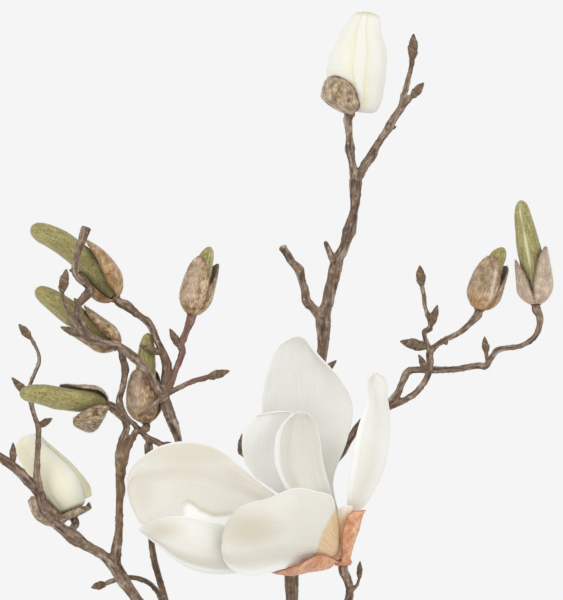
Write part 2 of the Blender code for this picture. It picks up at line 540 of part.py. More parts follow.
class Axis:
    """A smooth line through points, read by distance from its start."""

    def __init__(self, points, samples=60):
        self.spots = [blend(points, step / samples) for step in range(samples + 1)]
        self.marks = [0.0]
        for first, second in zip(self.spots, self.spots[1:]):
            self.marks.append(self.marks[-1] + (second - first).length)
        self.length = self.marks[-1]

    def at(self, distance):
        """The point, and the front and right directions, at a distance along the line."""
        index = 0
        while index < len(self.marks) - 2 and self.marks[index + 1] < distance:
            index += 1
        step = self.spots[index + 1] - self.spots[index]
        part = (distance - self.marks[index]) / step.length
        heading = step.normalized()
        front = (FRONT - heading * FRONT.dot(heading)).normalized()
        return self.spots[index] + step * part, front, heading.cross(front)

    def around(self, distance, radius, degrees):
        """The point at a radius and an angle round the line: 0 front, 90 right or up, 180 back."""
        middle, front, right = self.at(distance)
        angle = math.radians(degrees)
        return middle + (front * math.cos(angle) + right * math.sin(angle)) * radius


def bract_radius(part, widest, tip_radius):
    """The distance of a bract from the bud's axis at a part of its length."""
    rise = 0.34
    if part < rise:
        return 2 + (widest - 2) * math.sin(math.pi / 2 * part / rise) ** 0.6
    bend = (part - rise) / (1 - rise)
    return widest + (tip_radius - widest) * bend * bend


def bract(name, axis, facing, wrap, length, widest, tip_radius, blunt, home):
    """A scoop-shaped bract that stands round a bud from its foot."""
    grid = []
    for step in range(BRACT_ROWS + 1):
        part = (step / BRACT_ROWS) ** 1.3
        narrowing = math.sqrt(max(0.012, 1 - part**blunt))
        line = []
        for column in range(BRACT_COLUMNS + 1):
            side = 2 * column / BRACT_COLUMNS - 1
            angle = facing + side * wrap * narrowing
            radius = bract_radius(part, widest, tip_radius)
            line.append(axis.around(GAP + 1 + part * length, radius, angle))
        grid.append(line)
    return sheet(name, grid, BRACT_THICKNESS, home)


def bract_set(name, axis, bracts, home, paint, knob=6, scoop=None):
    """The bracts of one bud, fused by the short knob that they grow from."""
    start = [(*axis.at(GAP + part)[0], wide) for part, wide in ((0, knob - 1), (1.2, knob), (KNOB_LENGTH, knob - 1))]
    pieces = [tube(name + "_knob", start, home, resolution=2)]
    for number, shape in enumerate(bracts):
        pieces.append(bract(f"{name}_{number}", axis, *shape, home))
    if scoop:
        pieces.append(tepal(name + "_scoop", scoop, home, 7, 6, BRACT_THICKNESS))
    return fuse(name, pieces, home, paint)


def inside_bracts(distance, radius, bracts):
    """The radius of what a bud's bracts hold, kept clear of each bract that reaches so far."""
    clear = BRACT_THICKNESS / 2 + GAP + 1.1
    for _, _, length, widest, tip_radius, _ in bracts:
        part = (distance - GAP - 1) / length
        if part <= 1:
            radius = min(radius, bract_radius(part, widest, tip_radius) - clear)
    return max(radius, 0.8)


def bud_core(name, axis, widths, bracts, home, paint):
    """The green core of a scale bud, kept clear of the bracts round it."""
    start = GAP + KNOB_LENGTH + GAP + 0.2
    points = []
    for step in range(CORE_ROWS + 1):
        distance = start + (axis.length - start) * step / CORE_ROWS
        radius = inside_bracts(distance, read_table(widths, distance / axis.length), bracts)
        points.append((*axis.at(distance)[0], radius * 2))
    made = tube(name, points, home, resolution=2)
    finish(made, paint)
    return made


def wrapped_bud(name, axis, widths, bracts, home, paint):
    """A closed bud of three tepals, each of which overlaps the next in a raised edge."""
    sides = 18
    levels = 9
    work = bmesh.new()
    rings = []
    for step in range(levels + 1):
        part = step / levels
        distance = WHITE_BUD_START + (axis.length - WHITE_BUD_START) * part
        radius = read_table(widths, distance / axis.length)
        ring = []
        for side in range(sides):
            turn = side / sides
            overlap = (3 * turn + 0.35 * part) % 1
            lift = 1 + 0.09 * math.sin(math.pi * part) * (overlap - 0.5)
            reach = inside_bracts(distance, radius * lift, bracts)
            ring.append(work.verts.new(axis.around(distance, reach, 360 * turn + 100) * MM))
        rings.append(ring)
    for low, high in zip(rings, rings[1:]):
        for side in range(sides):
            after = (side + 1) % sides
            work.faces.new((low[side], low[after], high[after], high[side]))
    for ring, distance in ((rings[0], WHITE_BUD_START - 0.1), (rings[-1], axis.length + 0.8)):
        peak = work.verts.new(axis.at(distance)[0] * MM)
        for side in range(sides):
            work.faces.new((ring[side], ring[(side + 1) % sides], peak))
    bmesh.ops.recalc_face_normals(work, faces=work.faces)
    bmesh.ops.triangulate(work, faces=work.faces)
    mesh = bpy.data.meshes.new(name)
    work.to_mesh(mesh)
    work.free()
    made = add_object(name, mesh, home)
    finish(made, paint)
    return made


def wall_radius(height):
    """The vase's outer radius at a height, on a smooth line through its driving sizes."""
    heights = [spot[0] for spot in VASE_OUTSIDE]
    index = 0
    while index < len(heights) - 2 and heights[index + 1] < height:
        index += 1
    part = (height - heights[index]) / (heights[index + 1] - heights[index])
    return blend([(radius, 0, 0) for _, radius in VASE_OUTSIDE], (index + part) / (len(heights) - 1)).x


def turned(name, profile, home):
    """Turns a profile of radius and height round the vertical axis."""
    mesh = bpy.data.meshes.new(name)
    work = bmesh.new()
    spots = [work.verts.new((radius * MM, 0, height * MM)) for radius, height in profile]
    for first, second in zip(spots, spots[1:]):
        work.edges.new((first, second))
    work.to_mesh(mesh)
    work.free()
    made = add_object(name, mesh, home)
    screw = made.modifiers.new("Turn", "SCREW")
    screw.axis = "Z"
    screw.steps = VASE_STEPS
    screw.render_steps = VASE_STEPS
    screw.use_merge_vertices = True
    screw.merge_threshold = 1e-5
    return made


def vase(home):
    lip = VASE_HEIGHT
    down = [lip - 3, 188, 172, 150, 125, 100, 75, 50, 25, 8, 3]
    inner = [(wall_radius(height) - VASE_WALL, height) for height in reversed(down) if height > VASE_FLOOR]
    outer = [(wall_radius(height), height) for height in down]
    middle = wall_radius(lip) - VASE_WALL / 2
    rim = [(middle - 1.2, lip - 0.5), (middle, lip), (middle + 1.2, lip - 0.5)]
    floor = [(0, VASE_FLOOR), (inner[0][0] - 2.5, VASE_FLOOR)]
    profile = floor + inner + rim + outer + [(VASE_FOOT_RADIUS, 0), (0, 0)]
    made = turned("vase", profile, home)
    finish(made, material("Vase glaze", (0.82, 0.8, 0.75), 0.35))
    return made


def water(home, cutters):
    """The water, with a plain hole where each stem stands."""
    level = [WATER_TOP, 100, 75, 50, 25, 8]
    side = [(wall_radius(height) - VASE_WALL - GAP - 0.25, height) for height in level]
    bottom = VASE_FLOOR + GAP
    profile = [(0, WATER_TOP)] + side + [(side[-1][0] - 2.8, bottom), (0, bottom)]
    made = turned("water", profile, home)
    finish(made, material("Water", (0.8, 0.88, 0.86), 0.05))
    for name, route in (("left", LEFT_TRUNK), ("cluster", CLUSTER_STEM), ("right", RIGHT_TRUNK)):
        foot = route[0]
        path = [(foot[0], foot[1], bottom - 3, foot[3])] + [foot[:2] + (bottom + 3, foot[3])] + route[1:4]
        path = [(x, y, z, diameter + 2 * STEM_HOLE) for x, y, z, diameter in path]
        cutter = tube(f"{name}_stem_hole", path, cutters, resolution=2)
        cutter.hide_render = True
        cutter.display_type = "WIRE"
    holes = made.modifiers.new("Holes", "BOOLEAN")
    holes.operation = "DIFFERENCE"
    holes.operand_type = "COLLECTION"
    holes.collection = cutters
    return made


def branch(name, routes, leaf_buds, home, paint):
    """One branch: its trunk, its side twigs and its leaf buds, grown together."""
    pieces = []
    for number, route in enumerate(routes):
        pieces.append(tube(f"{name}_{number}", route, home, resolution=2 if number == 0 else 1))
    for number, (base, tip, width) in enumerate(leaf_buds):
        pieces.append(leaf_bud(f"{name}_bud_{number}", base, tip, width, home))
    return fuse(name, pieces, home, paint)


def heart(home, paint):
    """The bloom's heart: a cone with stamens round its foot and carpels above them."""
    foot = Vector(HEART_FOOT) + HEART_AXIS * GAP
    side = HEART_AXIS.orthogonal().normalized()
    other = HEART_AXIS.cross(side)
    cone = [(0, 0.9), (0.3, 1), (0.7, 0.8), (1, 0.35)]
    points = [(*(foot + HEART_AXIS * HEART_LENGTH * part), 2 * HEART_RADIUS * wide) for part, wide in cone]
    pieces = [tube("heart_cone", points, home, resolution=2)]
    for number in range(STAMENS + CARPELS):
        angle = number * math.radians(137.5)
        out = side * math.cos(angle) + other * math.sin(angle)
        is_stamen = number < STAMENS
        height = 1.2 + 6.5 * number / STAMENS if is_stamen else 9 + 5 * (number - STAMENS) / CARPELS
        reach = 2.6 if is_stamen else 1.6
        rise = 5.5 if is_stamen else 2.4
        root = foot + HEART_AXIS * height + out
        tip = root + out * reach + HEART_AXIS * rise
        pieces.append(tube(f"heart_{number}", [(*root, 1.1), (*tip, 0.7)], home, resolution=0))
    return fuse("bloom_heart", pieces, home, paint)


def main():
    clear_scene()
    home = collection("Magnolia in vase")
    cutters = collection("Stem holes")

    bark = material("Bark", (0.16, 0.1, 0.07), 0.85)
    fur = material("Furry bract", (0.42, 0.29, 0.16), 0.9)
    green = material("Green core", (0.32, 0.29, 0.11), 0.7)
    white = material("White tepal", (0.85, 0.84, 0.79), 0.5)
    salmon = material("Salmon bract", (0.6, 0.26, 0.15), 0.75)
    yellow = material("Heart", (0.6, 0.55, 0.28), 0.7)

    vase(home)
    water(home, cutters)
    left_routes = [
        LEFT_TRUNK,
        seated(LEFT_UPRIGHT, SCALE_BUDS["b"][0]),
        seated(LEFT_FORK, SCALE_BUDS["g"][0]),
        seated(LEFT_BUD_C_STEM, SCALE_BUDS["c"][0]),
        seated(LEFT_BUD_H_STEM, WHITE_BUDS["left"][0]),
        LEFT_CROSS_TWIG,
        LEFT_STUB,
        LEFT_THIN_TWIG,
    ]
    cluster_routes = [
        CLUSTER_STEM,
        seated(BUD_A_STEM, SCALE_BUDS["a"][0]),
        seated(BUD_D_STEM, SCALE_BUDS["d"][0]),
        CLUSTER_TWIG_LONG,
        CLUSTER_TWIG_THIN,
        CLUSTER_SHORT_TWIG,
        CLUSTER_FINE_TWIG,
        CLUSTER_LOW_TWIG,
    ]
    right_routes = [
        seated(RIGHT_TRUNK, WHITE_BUDS["top"][0]),
        seated(RIGHT_SIDE_BRANCH, SCALE_BUDS["k"][0]),
        seated(RIGHT_LOW_TWIG, SCALE_BUDS["j"][0]),
        seated(BLOOM_STEM, [BLOOM_STEM[-1][:3], BLOOM_BASE[0][:3]]),
        RIGHT_LEFT_FORK,
        RIGHT_SPUR,
        RIGHT_LOW_SPUR,
        RIGHT_HIDDEN_TWIG,
        RIGHT_TOP_TWIG,
        RIGHT_TOP_SIDE,
        RIGHT_ZIGZAG_TWIG,
        BLOOM_STEM_TWIG,
    ]
    branch("branch_left", left_routes, LEFT_LEAF_BUDS, home, bark)
    branch("branch_cluster", cluster_routes, CLUSTER_LEAF_BUDS, home, bark)
    branch("branch_right", right_routes, RIGHT_LEAF_BUDS, home, bark)

    for letter, (route, widths, bracts) in SCALE_BUDS.items():
        axis = Axis(route)
        bract_set(f"bud_{letter}_bracts", axis, bracts, home, fur)
        bud_core(f"bud_{letter}_core", axis, widths, bracts, home, green)
    for place, (route, widths, bracts) in WHITE_BUDS.items():
        axis = Axis(route)
        scoop = LEFT_SCOOP if place == "left" else None
        bract_set(f"white_bud_{place}_bract", axis, bracts, home, fur, scoop=scoop)
        wrapped_bud(f"white_bud_{place}", axis, widths, bracts, home, white)

    pieces = [tube("bloom_base", BLOOM_BASE, home, resolution=3)]
    for name, rows in TEPALS.items():
        pieces.append(tepal(f"tepal_{name}", rows, home))
    fuse("bloom_tepals", pieces, home, white)
    knob = tube("bloom_knob", BLOOM_KNOB, home, resolution=3)
    low = tepal("bloom_bract_low", BLOOM_BRACT_LOW, home, 6, 4, BRACT_THICKNESS)
    right = tepal("bloom_bract_right", BLOOM_BRACT_RIGHT, home, 6, 4, BRACT_THICKNESS)
    fuse("bloom_bracts", [knob, low, right], home, salmon)
    heart(home, yellow)


main()
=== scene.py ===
import math
import random

import bmesh
import bpy
import numpy as np
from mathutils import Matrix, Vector, kdtree


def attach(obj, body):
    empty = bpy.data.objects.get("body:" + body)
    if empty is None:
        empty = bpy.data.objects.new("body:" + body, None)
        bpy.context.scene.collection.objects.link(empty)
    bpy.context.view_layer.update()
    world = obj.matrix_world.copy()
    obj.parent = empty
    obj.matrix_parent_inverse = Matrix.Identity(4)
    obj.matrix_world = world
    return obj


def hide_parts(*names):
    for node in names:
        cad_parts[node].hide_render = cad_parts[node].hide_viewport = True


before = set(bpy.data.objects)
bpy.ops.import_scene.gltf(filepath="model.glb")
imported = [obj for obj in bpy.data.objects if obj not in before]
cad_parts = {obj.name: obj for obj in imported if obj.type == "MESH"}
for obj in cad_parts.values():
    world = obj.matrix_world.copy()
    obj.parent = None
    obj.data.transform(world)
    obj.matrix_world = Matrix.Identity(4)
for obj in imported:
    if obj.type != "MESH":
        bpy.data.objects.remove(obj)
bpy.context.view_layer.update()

MM = 0.001
GAP = 0.3  # clearance between neighbouring pieces
# The vase and its water
VASE_HEIGHT = 200
VASE_WALL = 4
VASE_FLOOR = 6
VASE_FOOT_RADIUS = 36
VASE_OUTSIDE = [(0, 36), (3, 38), (25, 46), (65, 54), (100, 53), (140, 43), (172, 34.5), (188, 34), (200, 37)]
STEM_FOOT = VASE_FLOOR + 2 * GAP  # where the branches stand

# Thin parts
TEPAL_THICKNESS = 0.9
BRACT_THICKNESS = 0.9
KNOB_LENGTH = 2.5
SEAT_RUN = 1.8  # the last stretch of a twig, which is square to the bud it carries

# Left branch, from its cut end in the vase. Each point is x, y, z and the diameter there.
LEFT_TRUNK = [
    (-6, -12, STEM_FOOT, 7.5), (-8, -12, 60, 7.5), (-11, -12, 120, 7.2), (-16, -13, 170, 7),
    (-22, -14, 200, 6.8), (-32, -14, 226, 6.5), (-45, -13, 247, 6.0), (-55, -12, 259, 5.1),
    (-61.5, -11, 267.5, 5.8), (-64, -11, 271.5, 7), (-67.5, -11, 277, 6.5), (-72.5, -12, 282, 5),
    (-82.5, -12, 288, 5.2), (-87.5, -13, 291.5, 7.6), (-94, -14, 296, 5.5), (-97.5, -14, 299, 5.5),
    (-102.5, -15, 306, 6), (-106, -16, 315, 5.4), (-110, -17, 319, 5), (-115, -18, 324.5, 5),
    (-120, -19, 328.5, 4.5), (-125, -20, 332, 4.6), (-131, -21, 335.5, 4), (-137, -22, 340, 3.4),
]
LEFT_UPRIGHT = [
    (-67.2, -11, 277, 5), (-66.8, -11, 285, 5.4), (-66, -10, 290, 5), (-65.4, -10, 296, 4),
    (-65, -10, 310, 3.6), (-64.5, -10, 315, 5), (-65, -9, 320, 4.4), (-64.6, -9, 325, 5.4),
    (-65.5, -9, 330, 4), (-65, -8, 335, 4.1), (-63.8, -7, 340, 3.5), (-61.6, -5, 346, 3.4),
    (-62.5, -4, 351, 3.8), (-65, -1, 357.5, 4), (-65.2, 1, 361, 3.4), (-64, 3, 365, 3),
    (-63, 4, 370, 3.4), (-62.5, 5, 376, 4), (-64, 6, 382, 3.4), (-65.5, 6, 386, 4),
]
LEFT_FORK = [
    (-64, -9, 325, 3), (-62.2, -9, 330, 3.2), (-61.4, -8, 335, 3.6), (-59.2, -6, 340, 3.4),
    (-56.5, -1, 344.5, 3.4), (-53.5, 5, 345, 3.6), (-52, 9, 348, 4.2),
]
LEFT_CROSS_TWIG = [
    (-63, -4, 352.5, 2.4), (-58.5, -3, 348.5, 2.6), (-55, -1, 345, 3), (-51.5, -1, 341.5, 3),
    (-47.5, -1.5, 339.5, 3), (-43.5, -2, 337.4, 3.6), (-40.5, -2, 337, 4.8), (-38, -2, 336.4, 3.8),
]
LEFT_STUB = [(-52.5, -1, 342, 2.8), (-50.6, 1, 339.5, 3.4), (-50.8, 2, 336, 4.6), (-50.8, 2, 331.6, 3.8)]
LEFT_BUD_C_STEM = [(-62.5, -4, 350.5, 4.4), (-66.5, -6, 354.6, 4.8), (-71, -8, 357.5, 4.7)]
LEFT_BUD_H_STEM = [(-88, -13, 291.5, 4), (-88.5, -7, 296, 3.6), (-88, -0.5, 300.5, 4.2)]
LEFT_THIN_TWIG = [
    (-105, -15.5, 315, 4.4), (-106, -16, 320, 4), (-106, -17, 330, 3), (-105.5, -17, 340, 2.8),
    (-105.5, -17, 346.5, 3.2), (-107, -17, 351, 2.5), (-109.5, -17, 360, 2.5), (-110, -17, 366, 2.3),
    (-107, -17, 374, 2.2), (-105.3, -17, 378, 2.2), (-105, -17, 381, 2), (-106, -17, 385, 1.9),
    (-110, -17, 392, 1.8),
]
LEFT_LEAF_BUDS = [
    ((-137, -22, 340), (-142, -22, 346.5), 4),
    ((-118.2, -19, 328), (-118, -19, 339), 3.6),
    ((-109.5, -17, 391), (-115.2, -17, 398), 4.2),
    ((-109.6, -17, 361.4), (-118.8, -18, 371.4), 4.2),
    ((-105.5, -17, 347), (-98.5, -18, 351), 3.8),
]

# Cluster branch: the stem behind the bloom and the knot of twigs at the upper left.
CLUSTER_STEM = [
    (-2, 13, STEM_FOOT, 5.6), (-5, 13, 60, 5.6), (-10, 13, 120, 5.2), (-17, 12, 170, 5),
    (-23, 12, 200, 4.5), (-32, 12, 226, 4), (-39, 12, 246, 3.6), (-42.5, 12, 260, 3.3),
    (-45.4, 12, 270, 3.4), (-48.6, 12, 282.5, 3.4), (-49.4, 12, 290, 3.3), (-48.9, 12, 300, 3.4),
    (-46, 12, 312, 3.5), (-41, 11, 324, 3.7), (-37.4, 9, 332.5, 4), (-35.8, 6, 339, 3.8),
    (-37.1, 5, 344, 4.6), (-38.2, 4, 347.5, 5.4), (-40.1, 3, 352.5, 5.8), (-41.9, 2, 357.5, 5.8),
    (-43.5, 1, 362.5, 5.4),
]
BUD_A_STEM = [
    (-43.5, 1, 361.5, 4.4), (-42.6, 3, 370, 4.4), (-41.6, 4, 377, 5.2), (-43.2, 5, 382.5, 4.2),
    (-47.2, 6, 391, 3.6), (-49.2, 6, 396, 3.4), (-51.4, 7, 399.2, 4), (-54, 7, 401.2, 3.3),
    (-58.6, 8, 404.6, 4.2), (-62.4, 8, 407.6, 5.4), (-66.6, 8, 410, 4.6),
]
CLUSTER_TWIG_LONG = [
    (-43.5, 1, 362, 4.4), (-47, -1, 367, 4.5), (-50, -2, 372, 4.4), (-53.5, -3, 377, 4.4),
    (-60, -4, 383, 4.6), (-65, -5, 386.5, 4.2), (-75, -6, 389.2, 4), (-81.5, -6, 394, 4.4),
    (-84.5, -6, 398, 4.4), (-86, -6, 403, 4), (-85.5, -6, 408, 3.5), (-82.6, -6, 411.5, 4.6),
    (-80, -6, 414.8, 4.6), (-81.2, -6, 417.6, 3.8), (-85, -6, 420, 3.2), (-87.5, -6, 424, 3.2),
    (-87.3, -6, 429, 3), (-86, -6, 434, 3.4), (-83.8, -6, 440, 4.4), (-81.6, -6, 446.6, 5.2),
]
CLUSTER_TWIG_THIN = [
    (-74, -6, 388.5, 2.6), (-80, -7, 389.5, 2.5), (-84, -8, 393, 2.5), (-87, -8, 397, 2.4),
    (-92, -8, 407, 2.3), (-93.5, -8, 411, 2.2), (-93.5, -8, 414, 2.2),
]
BUD_D_STEM = [
    (-43, 1, 363, 3.6), (-39.7, 1, 368, 3.4), (-37.1, 1, 375, 3.1), (-34.4, 1, 382, 3.2),
    (-33.8, 1, 385, 3.4), (-34.7, 1, 387.5, 4.2), (-33.2, 1, 391, 3.2), (-31.2, 2, 396, 3.6),
    (-29.3, 2, 402, 4.8),
]
CLUSTER_SHORT_TWIG = [
    (-43, 0, 362.5, 3), (-37, -1, 365.4, 2.8), (-28.5, -1, 369.4, 2.7), (-21, -1, 371.3, 3),
]
CLUSTER_FINE_TWIG = [(-44, 0, 361.5, 2.2), (-47.5, -2, 358, 2), (-51, -3, 355, 2), (-56, -4, 351.8, 1.8)]
CLUSTER_LOW_TWIG = [
    (-43.4, 12, 257, 2.8), (-46.2, 8, 263.5, 2.8), (-50.4, 3, 268.3, 2.8), (-59, -2, 271.3, 2.7),
    (-64, -4, 271.2, 2.5), (-72.5, -4, 268.2, 2.5),
]
CLUSTER_LEAF_BUDS = [
    ((-44, 4.4, 383.2), (-55.4, 1.6, 387.4), 4),
    ((-94, -8, 413.6), (-91.6, -8, 425.5), 5),
    ((-84.4, -8, 392.4), (-94.6, -8, 396.6), 4),
    ((-85.5, -6.5, 408), (-88, -6.5, 411), 2.2),
    ((-87.5, -6, 424.5), (-90.4, -6, 425), 2.2),
    ((-21.4, -1, 371.3), (-10.2, -1, 374.6), 4.6),
    ((-35.2, 0.5, 386.4), (-40.2, 0, 395.7), 4),
    ((-72, -4, 268.2), (-79.4, -4, 266.3), 4.2),
]

# Right branch: the middle stem with everything above and to the right of it.
RIGHT_TRUNK = [
    (12, 2, STEM_FOOT, 7.5), (12.5, 2, 60, 7.5), (14, 3, 120, 7.2), (16, 5, 170, 7),
    (18, 8, 200, 6.8), (20, 11, 230, 6.5), (21, 14, 260, 6.2), (20.8, 16, 268, 7.2),
    (20.8, 17, 276, 7.4), (22, 21, 290, 6.2), (25, 24, 320, 6), (29.2, 25, 350, 5.8), (33.8, 25, 372, 5.8),
    (36.4, 24, 386, 5.4), (36.8, 24, 392, 6.4), (36.7, 24, 398, 8), (36.9, 24, 403, 7.8), (38.6, 24, 407, 6),
    (39.5, 24, 412, 6.2), (41.5, 23, 420, 6.2), (43, 22, 427, 7), (44.2, 22, 431, 5.9),
    (46.8, 22, 435.5, 5.2), (48.2, 21, 440, 5), (49.7, 21, 444.5, 6.8), (50.9, 21, 449, 5.4),
    (52, 20, 454, 4), (52.7, 20, 460, 5.4), (52.8, 20, 465, 6.2), (53, 20, 470.5, 6.6),
    (52, 19, 475, 4.2), (51, 18, 480, 3.7), (50, 18, 486, 5.2), (49.7, 17, 492.5, 3.3),
    (49.3, 17, 497.5, 4.2), (49.5, 17, 502, 4.8),
]
RIGHT_LEFT_FORK = [
    (36, 24, 400, 5), (31.5, 23, 406, 4.1), (28.5, 23, 409, 4.8), (27.5, 22, 415, 4), (26, 22, 420, 4),
    (24.6, 21, 425.5, 4.8), (21, 21, 429, 4), (18.5, 21, 433, 4), (15.8, 20, 437, 4.2),
]
RIGHT_SPUR = [(42.5, 22, 428, 3.6), (39.2, 21, 435.5, 3.2), (37.6, 21, 439.4, 2.4)]
RIGHT_LOW_SPUR = [(20, 17, 273.5, 3), (15.5, 16.5, 274, 2.2), (12, 16, 275, 1.6)]
RIGHT_HIDDEN_TWIG = [(25, 24, 318, 2.6), (12, 21, 322, 2.4), (2, 17, 328, 2.2), (-4.8, 14, 333.6, 2.4)]
RIGHT_TOP_TWIG = [
    (53.4, 20, 469.5, 4.6), (57.8, 20, 478, 4.4), (61, 20, 482.3, 5.2), (63.5, 19, 487.5, 3.8),
    (66.4, 19, 491.7, 3.6), (69.5, 19, 496.2, 4.8), (72, 18, 501, 3.6), (76.4, 18, 508, 4.2),
    (76.7, 18, 511.5, 3), (77.9, 18, 515, 3), (79, 17, 520, 2.6), (80.4, 17, 525, 2.4),
    (81.4, 17, 531, 3.2),
]
RIGHT_TOP_SIDE = [(77, 18, 507.5, 3), (80, 17, 511, 2.5), (81.5, 17, 513, 2.6)]
RIGHT_SIDE_BRANCH = [
    (25, 24, 306, 5), (34, 25, 318, 5), (39.6, 24, 326, 4.6), (45.8, 24, 333, 3.8), (50.2, 23, 340.4, 3.7),
    (54.2, 23, 346.2, 4.1), (61, 22, 352.5, 4.4), (68.5, 21, 356.5, 4.6), (71.5, 20, 360, 4),
    (74.5, 20, 364, 3.8), (76, 20, 368, 3.5), (80, 19, 374.5, 3.8), (84, 19, 375, 3.5),
    (95, 18, 374.9, 3.4), (102.5, 18, 375.2, 3.2), (115, 17, 377, 3.3), (118, 17, 376.8, 3.9),
    (120.2, 17, 379.8, 2.8), (124.3, 16, 385, 3.2), (129, 16, 386, 2.7), (135, 16, 386.8, 2.6),
    (139.2, 15, 388.7, 2.7), (143, 15, 392, 3), (145, 15, 397, 3.2), (145, 15, 402, 3.6),
    (143.3, 15, 407, 4.6),
]
RIGHT_LOW_TWIG = [
    (68.5, 21, 356.5, 4), (73.5, 20, 358, 3.5), (78.5, 18, 360.5, 3.3), (83, 16, 363.5, 3.3),
    (86.5, 15, 367.5, 3.2), (89, 14, 372, 3.2), (90.3, 14, 378, 3.4), (90.3, 14, 384, 3.9),
    (93, 14, 387, 2.8), (96.5, 14, 389.5, 2.7), (104, 14, 393.1, 2.8), (107.5, 14, 395.7, 3),
    (111, 14, 399, 3.5), (114.5, 14, 404.5, 4.8),
]
RIGHT_ZIGZAG_TWIG = [
    (90.3, 14, 383.5, 2.8), (88.5, 14, 388.5, 2.6), (87.4, 14, 392, 2.4), (87.3, 14, 394.1, 3),
    (90.1, 14, 395.6, 3), (90.3, 14, 398, 2.4), (89, 14, 402.5, 2.3), (87.5, 13, 407.5, 2.2),
    (87, 13, 412.5, 2.2), (86, 13, 417.5, 2.4),
]
BLOOM_STEM = [
    (20, 10, 222, 5.6), (27, 8, 232, 5), (38, 5, 246, 4.5), (47, 3, 256, 4.3), (49.8, 2, 262, 4),
    (49.8, 1, 266, 4), (48.6, 0, 270.5, 4.4), (46.5, -3, 277, 5),
]
BLOOM_STEM_TWIG = [(50.3, 1, 264, 2), (53.5, 0, 267.5, 1.8), (54.6, 0, 271, 1.8)]
RIGHT_LEAF_BUDS = [
    ((33.5, 25, 370), (43.3, 21, 379.8), 4.4),
    ((-5, 14, 332.5), (-4, 13, 343), 3.4),
    ((81.4, 17, 530.5), (82, 17, 543.5), 5.2),
    ((81, 17, 511.6), (87.1, 17, 519), 4.6),
    ((70.5, 19, 496), (73.5, 18.5, 497), 2),
    ((119.2, 17, 377), (117.5, 17, 391.7), 4),
    ((86, 13, 417), (85, 13, 427.3), 4.9),
    ((90.4, 14, 396.6), (94, 14, 407.5), 4.2),
    ((88.6, 14, 386.4), (75.2, 13, 389.3), 5.8),
    ((89.4, 14, 373), (84.4, 13, 382.7), 3.8),
    ((97.5, 14, 390.2), (98.6, 13.5, 387.4), 2.8),
    ((54.6, 0, 270.5), (55, 0, 279.5), 3),
]

# Scale buds. The axis runs from the twig's end to the tip of the green core. The core's radius is
# given at fractions of that axis. A bract is: the way it faces round the axis in degrees (0 front,
# 90 right or up, 180 back), the half angle it wraps, its length, its widest radius, its tip's radius
# and how blunt its tip is.
SCALE_BUDS = {
    "a": (
        [(-66.6, 8, 410), (-73, 8, 417.8), (-79.6, 8, 427), (-87, 8, 433.3), (-94.5, 8, 438.9),
         (-101.5, 7.5, 442.6), (-109.8, 7, 446.2)],
        [(0, 3), (0.25, 5.8), (0.5, 6.1), (0.75, 5.8), (0.9, 5.1), (1, 2.9)],
        [(85, 72, 30, 10.2, 8.2, 2.4), (-95, 66, 26, 8.6, 7.8, 2.4)],
    ),
    "b": (
        [(-65.5, 6, 386), (-71, 6, 390.6), (-77, 6, 395), (-84.8, 5.5, 400), (-92.8, 5, 405.6),
         (-100, 4.5, 410.8), (-107.3, 4, 415.4)],
        [(0, 3), (0.25, 5.4), (0.5, 6.2), (0.75, 5.6), (0.9, 4.5), (1, 2.6)],
        [(80, 75, 25, 6.6, 6.9, 2.4), (-86, 72, 26, 8.6, 8.4, 3)],
    ),
    "c": (
        [(-71, -8, 357.5), (-78, -11, 359.5), (-87, -16, 360), (-95, -20, 361), (-102.5, -24, 362.8),
         (-108.5, -26.5, 363.5), (-114.4, -29, 363)],
        [(0, 3), (0.25, 5.8), (0.5, 6), (0.75, 5.2), (0.9, 4.2), (1, 2.4)],
        [(112, 66, 25, 7.6, 7.2, 2.4), (-50, 46, 20, 15.3, 11.6, 4)],
    ),
    "d": (
        [(-29.3, 2, 402), (-27.4, 2, 411), (-25, 2, 420), (-22.6, 2, 429), (-19.8, 2, 436.6)],
        [(0, 3), (0.3, 5.4), (0.6, 5.2), (0.85, 3.8), (1, 1.8)],
        [(-28, 80, 28.5, 7.8, 6, 2.4), (112, 76, 27.5, 8.2, 7, 2.4)],
    ),
    "g": (
        [(-52, 9, 348), (-52.8, 9, 360), (-52.5, 9, 372), (-51.8, 9, 384), (-51, 9, 393.5)],
        [(0, 3), (0.3, 6), (0.6, 5.2), (0.85, 4), (1, 2)],
        [(-30, 86, 26, 8.9, 6.6, 2.4), (150, 82, 26, 8.5, 6.6, 2.4)],
    ),
    "j": (
        [(114.6, 14, 404.4), (116.8, 14, 412.5), (119.5, 14, 421), (122.8, 14, 429), (127.2, 14, 436.2)],
        [(0, 3), (0.3, 5.6), (0.6, 5.4), (0.85, 4.2), (1, 1.9)],
        [(-20, 82, 27, 8.2, 5.8, 2.4), (120, 74, 25.5, 8.8, 7.2, 2.4)],
    ),
    "k": (
        [(143.3, 15, 407), (142.8, 15, 415), (141.7, 15, 425), (139.9, 15, 435), (138, 15, 445),
         (136.6, 15, 453), (135.8, 15, 460)],
        [(0, 3), (0.35, 6.2), (0.55, 6.1), (0.72, 5.2), (0.9, 4), (1, 2)],
        [(-82, 78, 23, 8.7, 7.6, 1.3), (72, 84, 27, 9, 8.6, 1.7)],
    ),
}

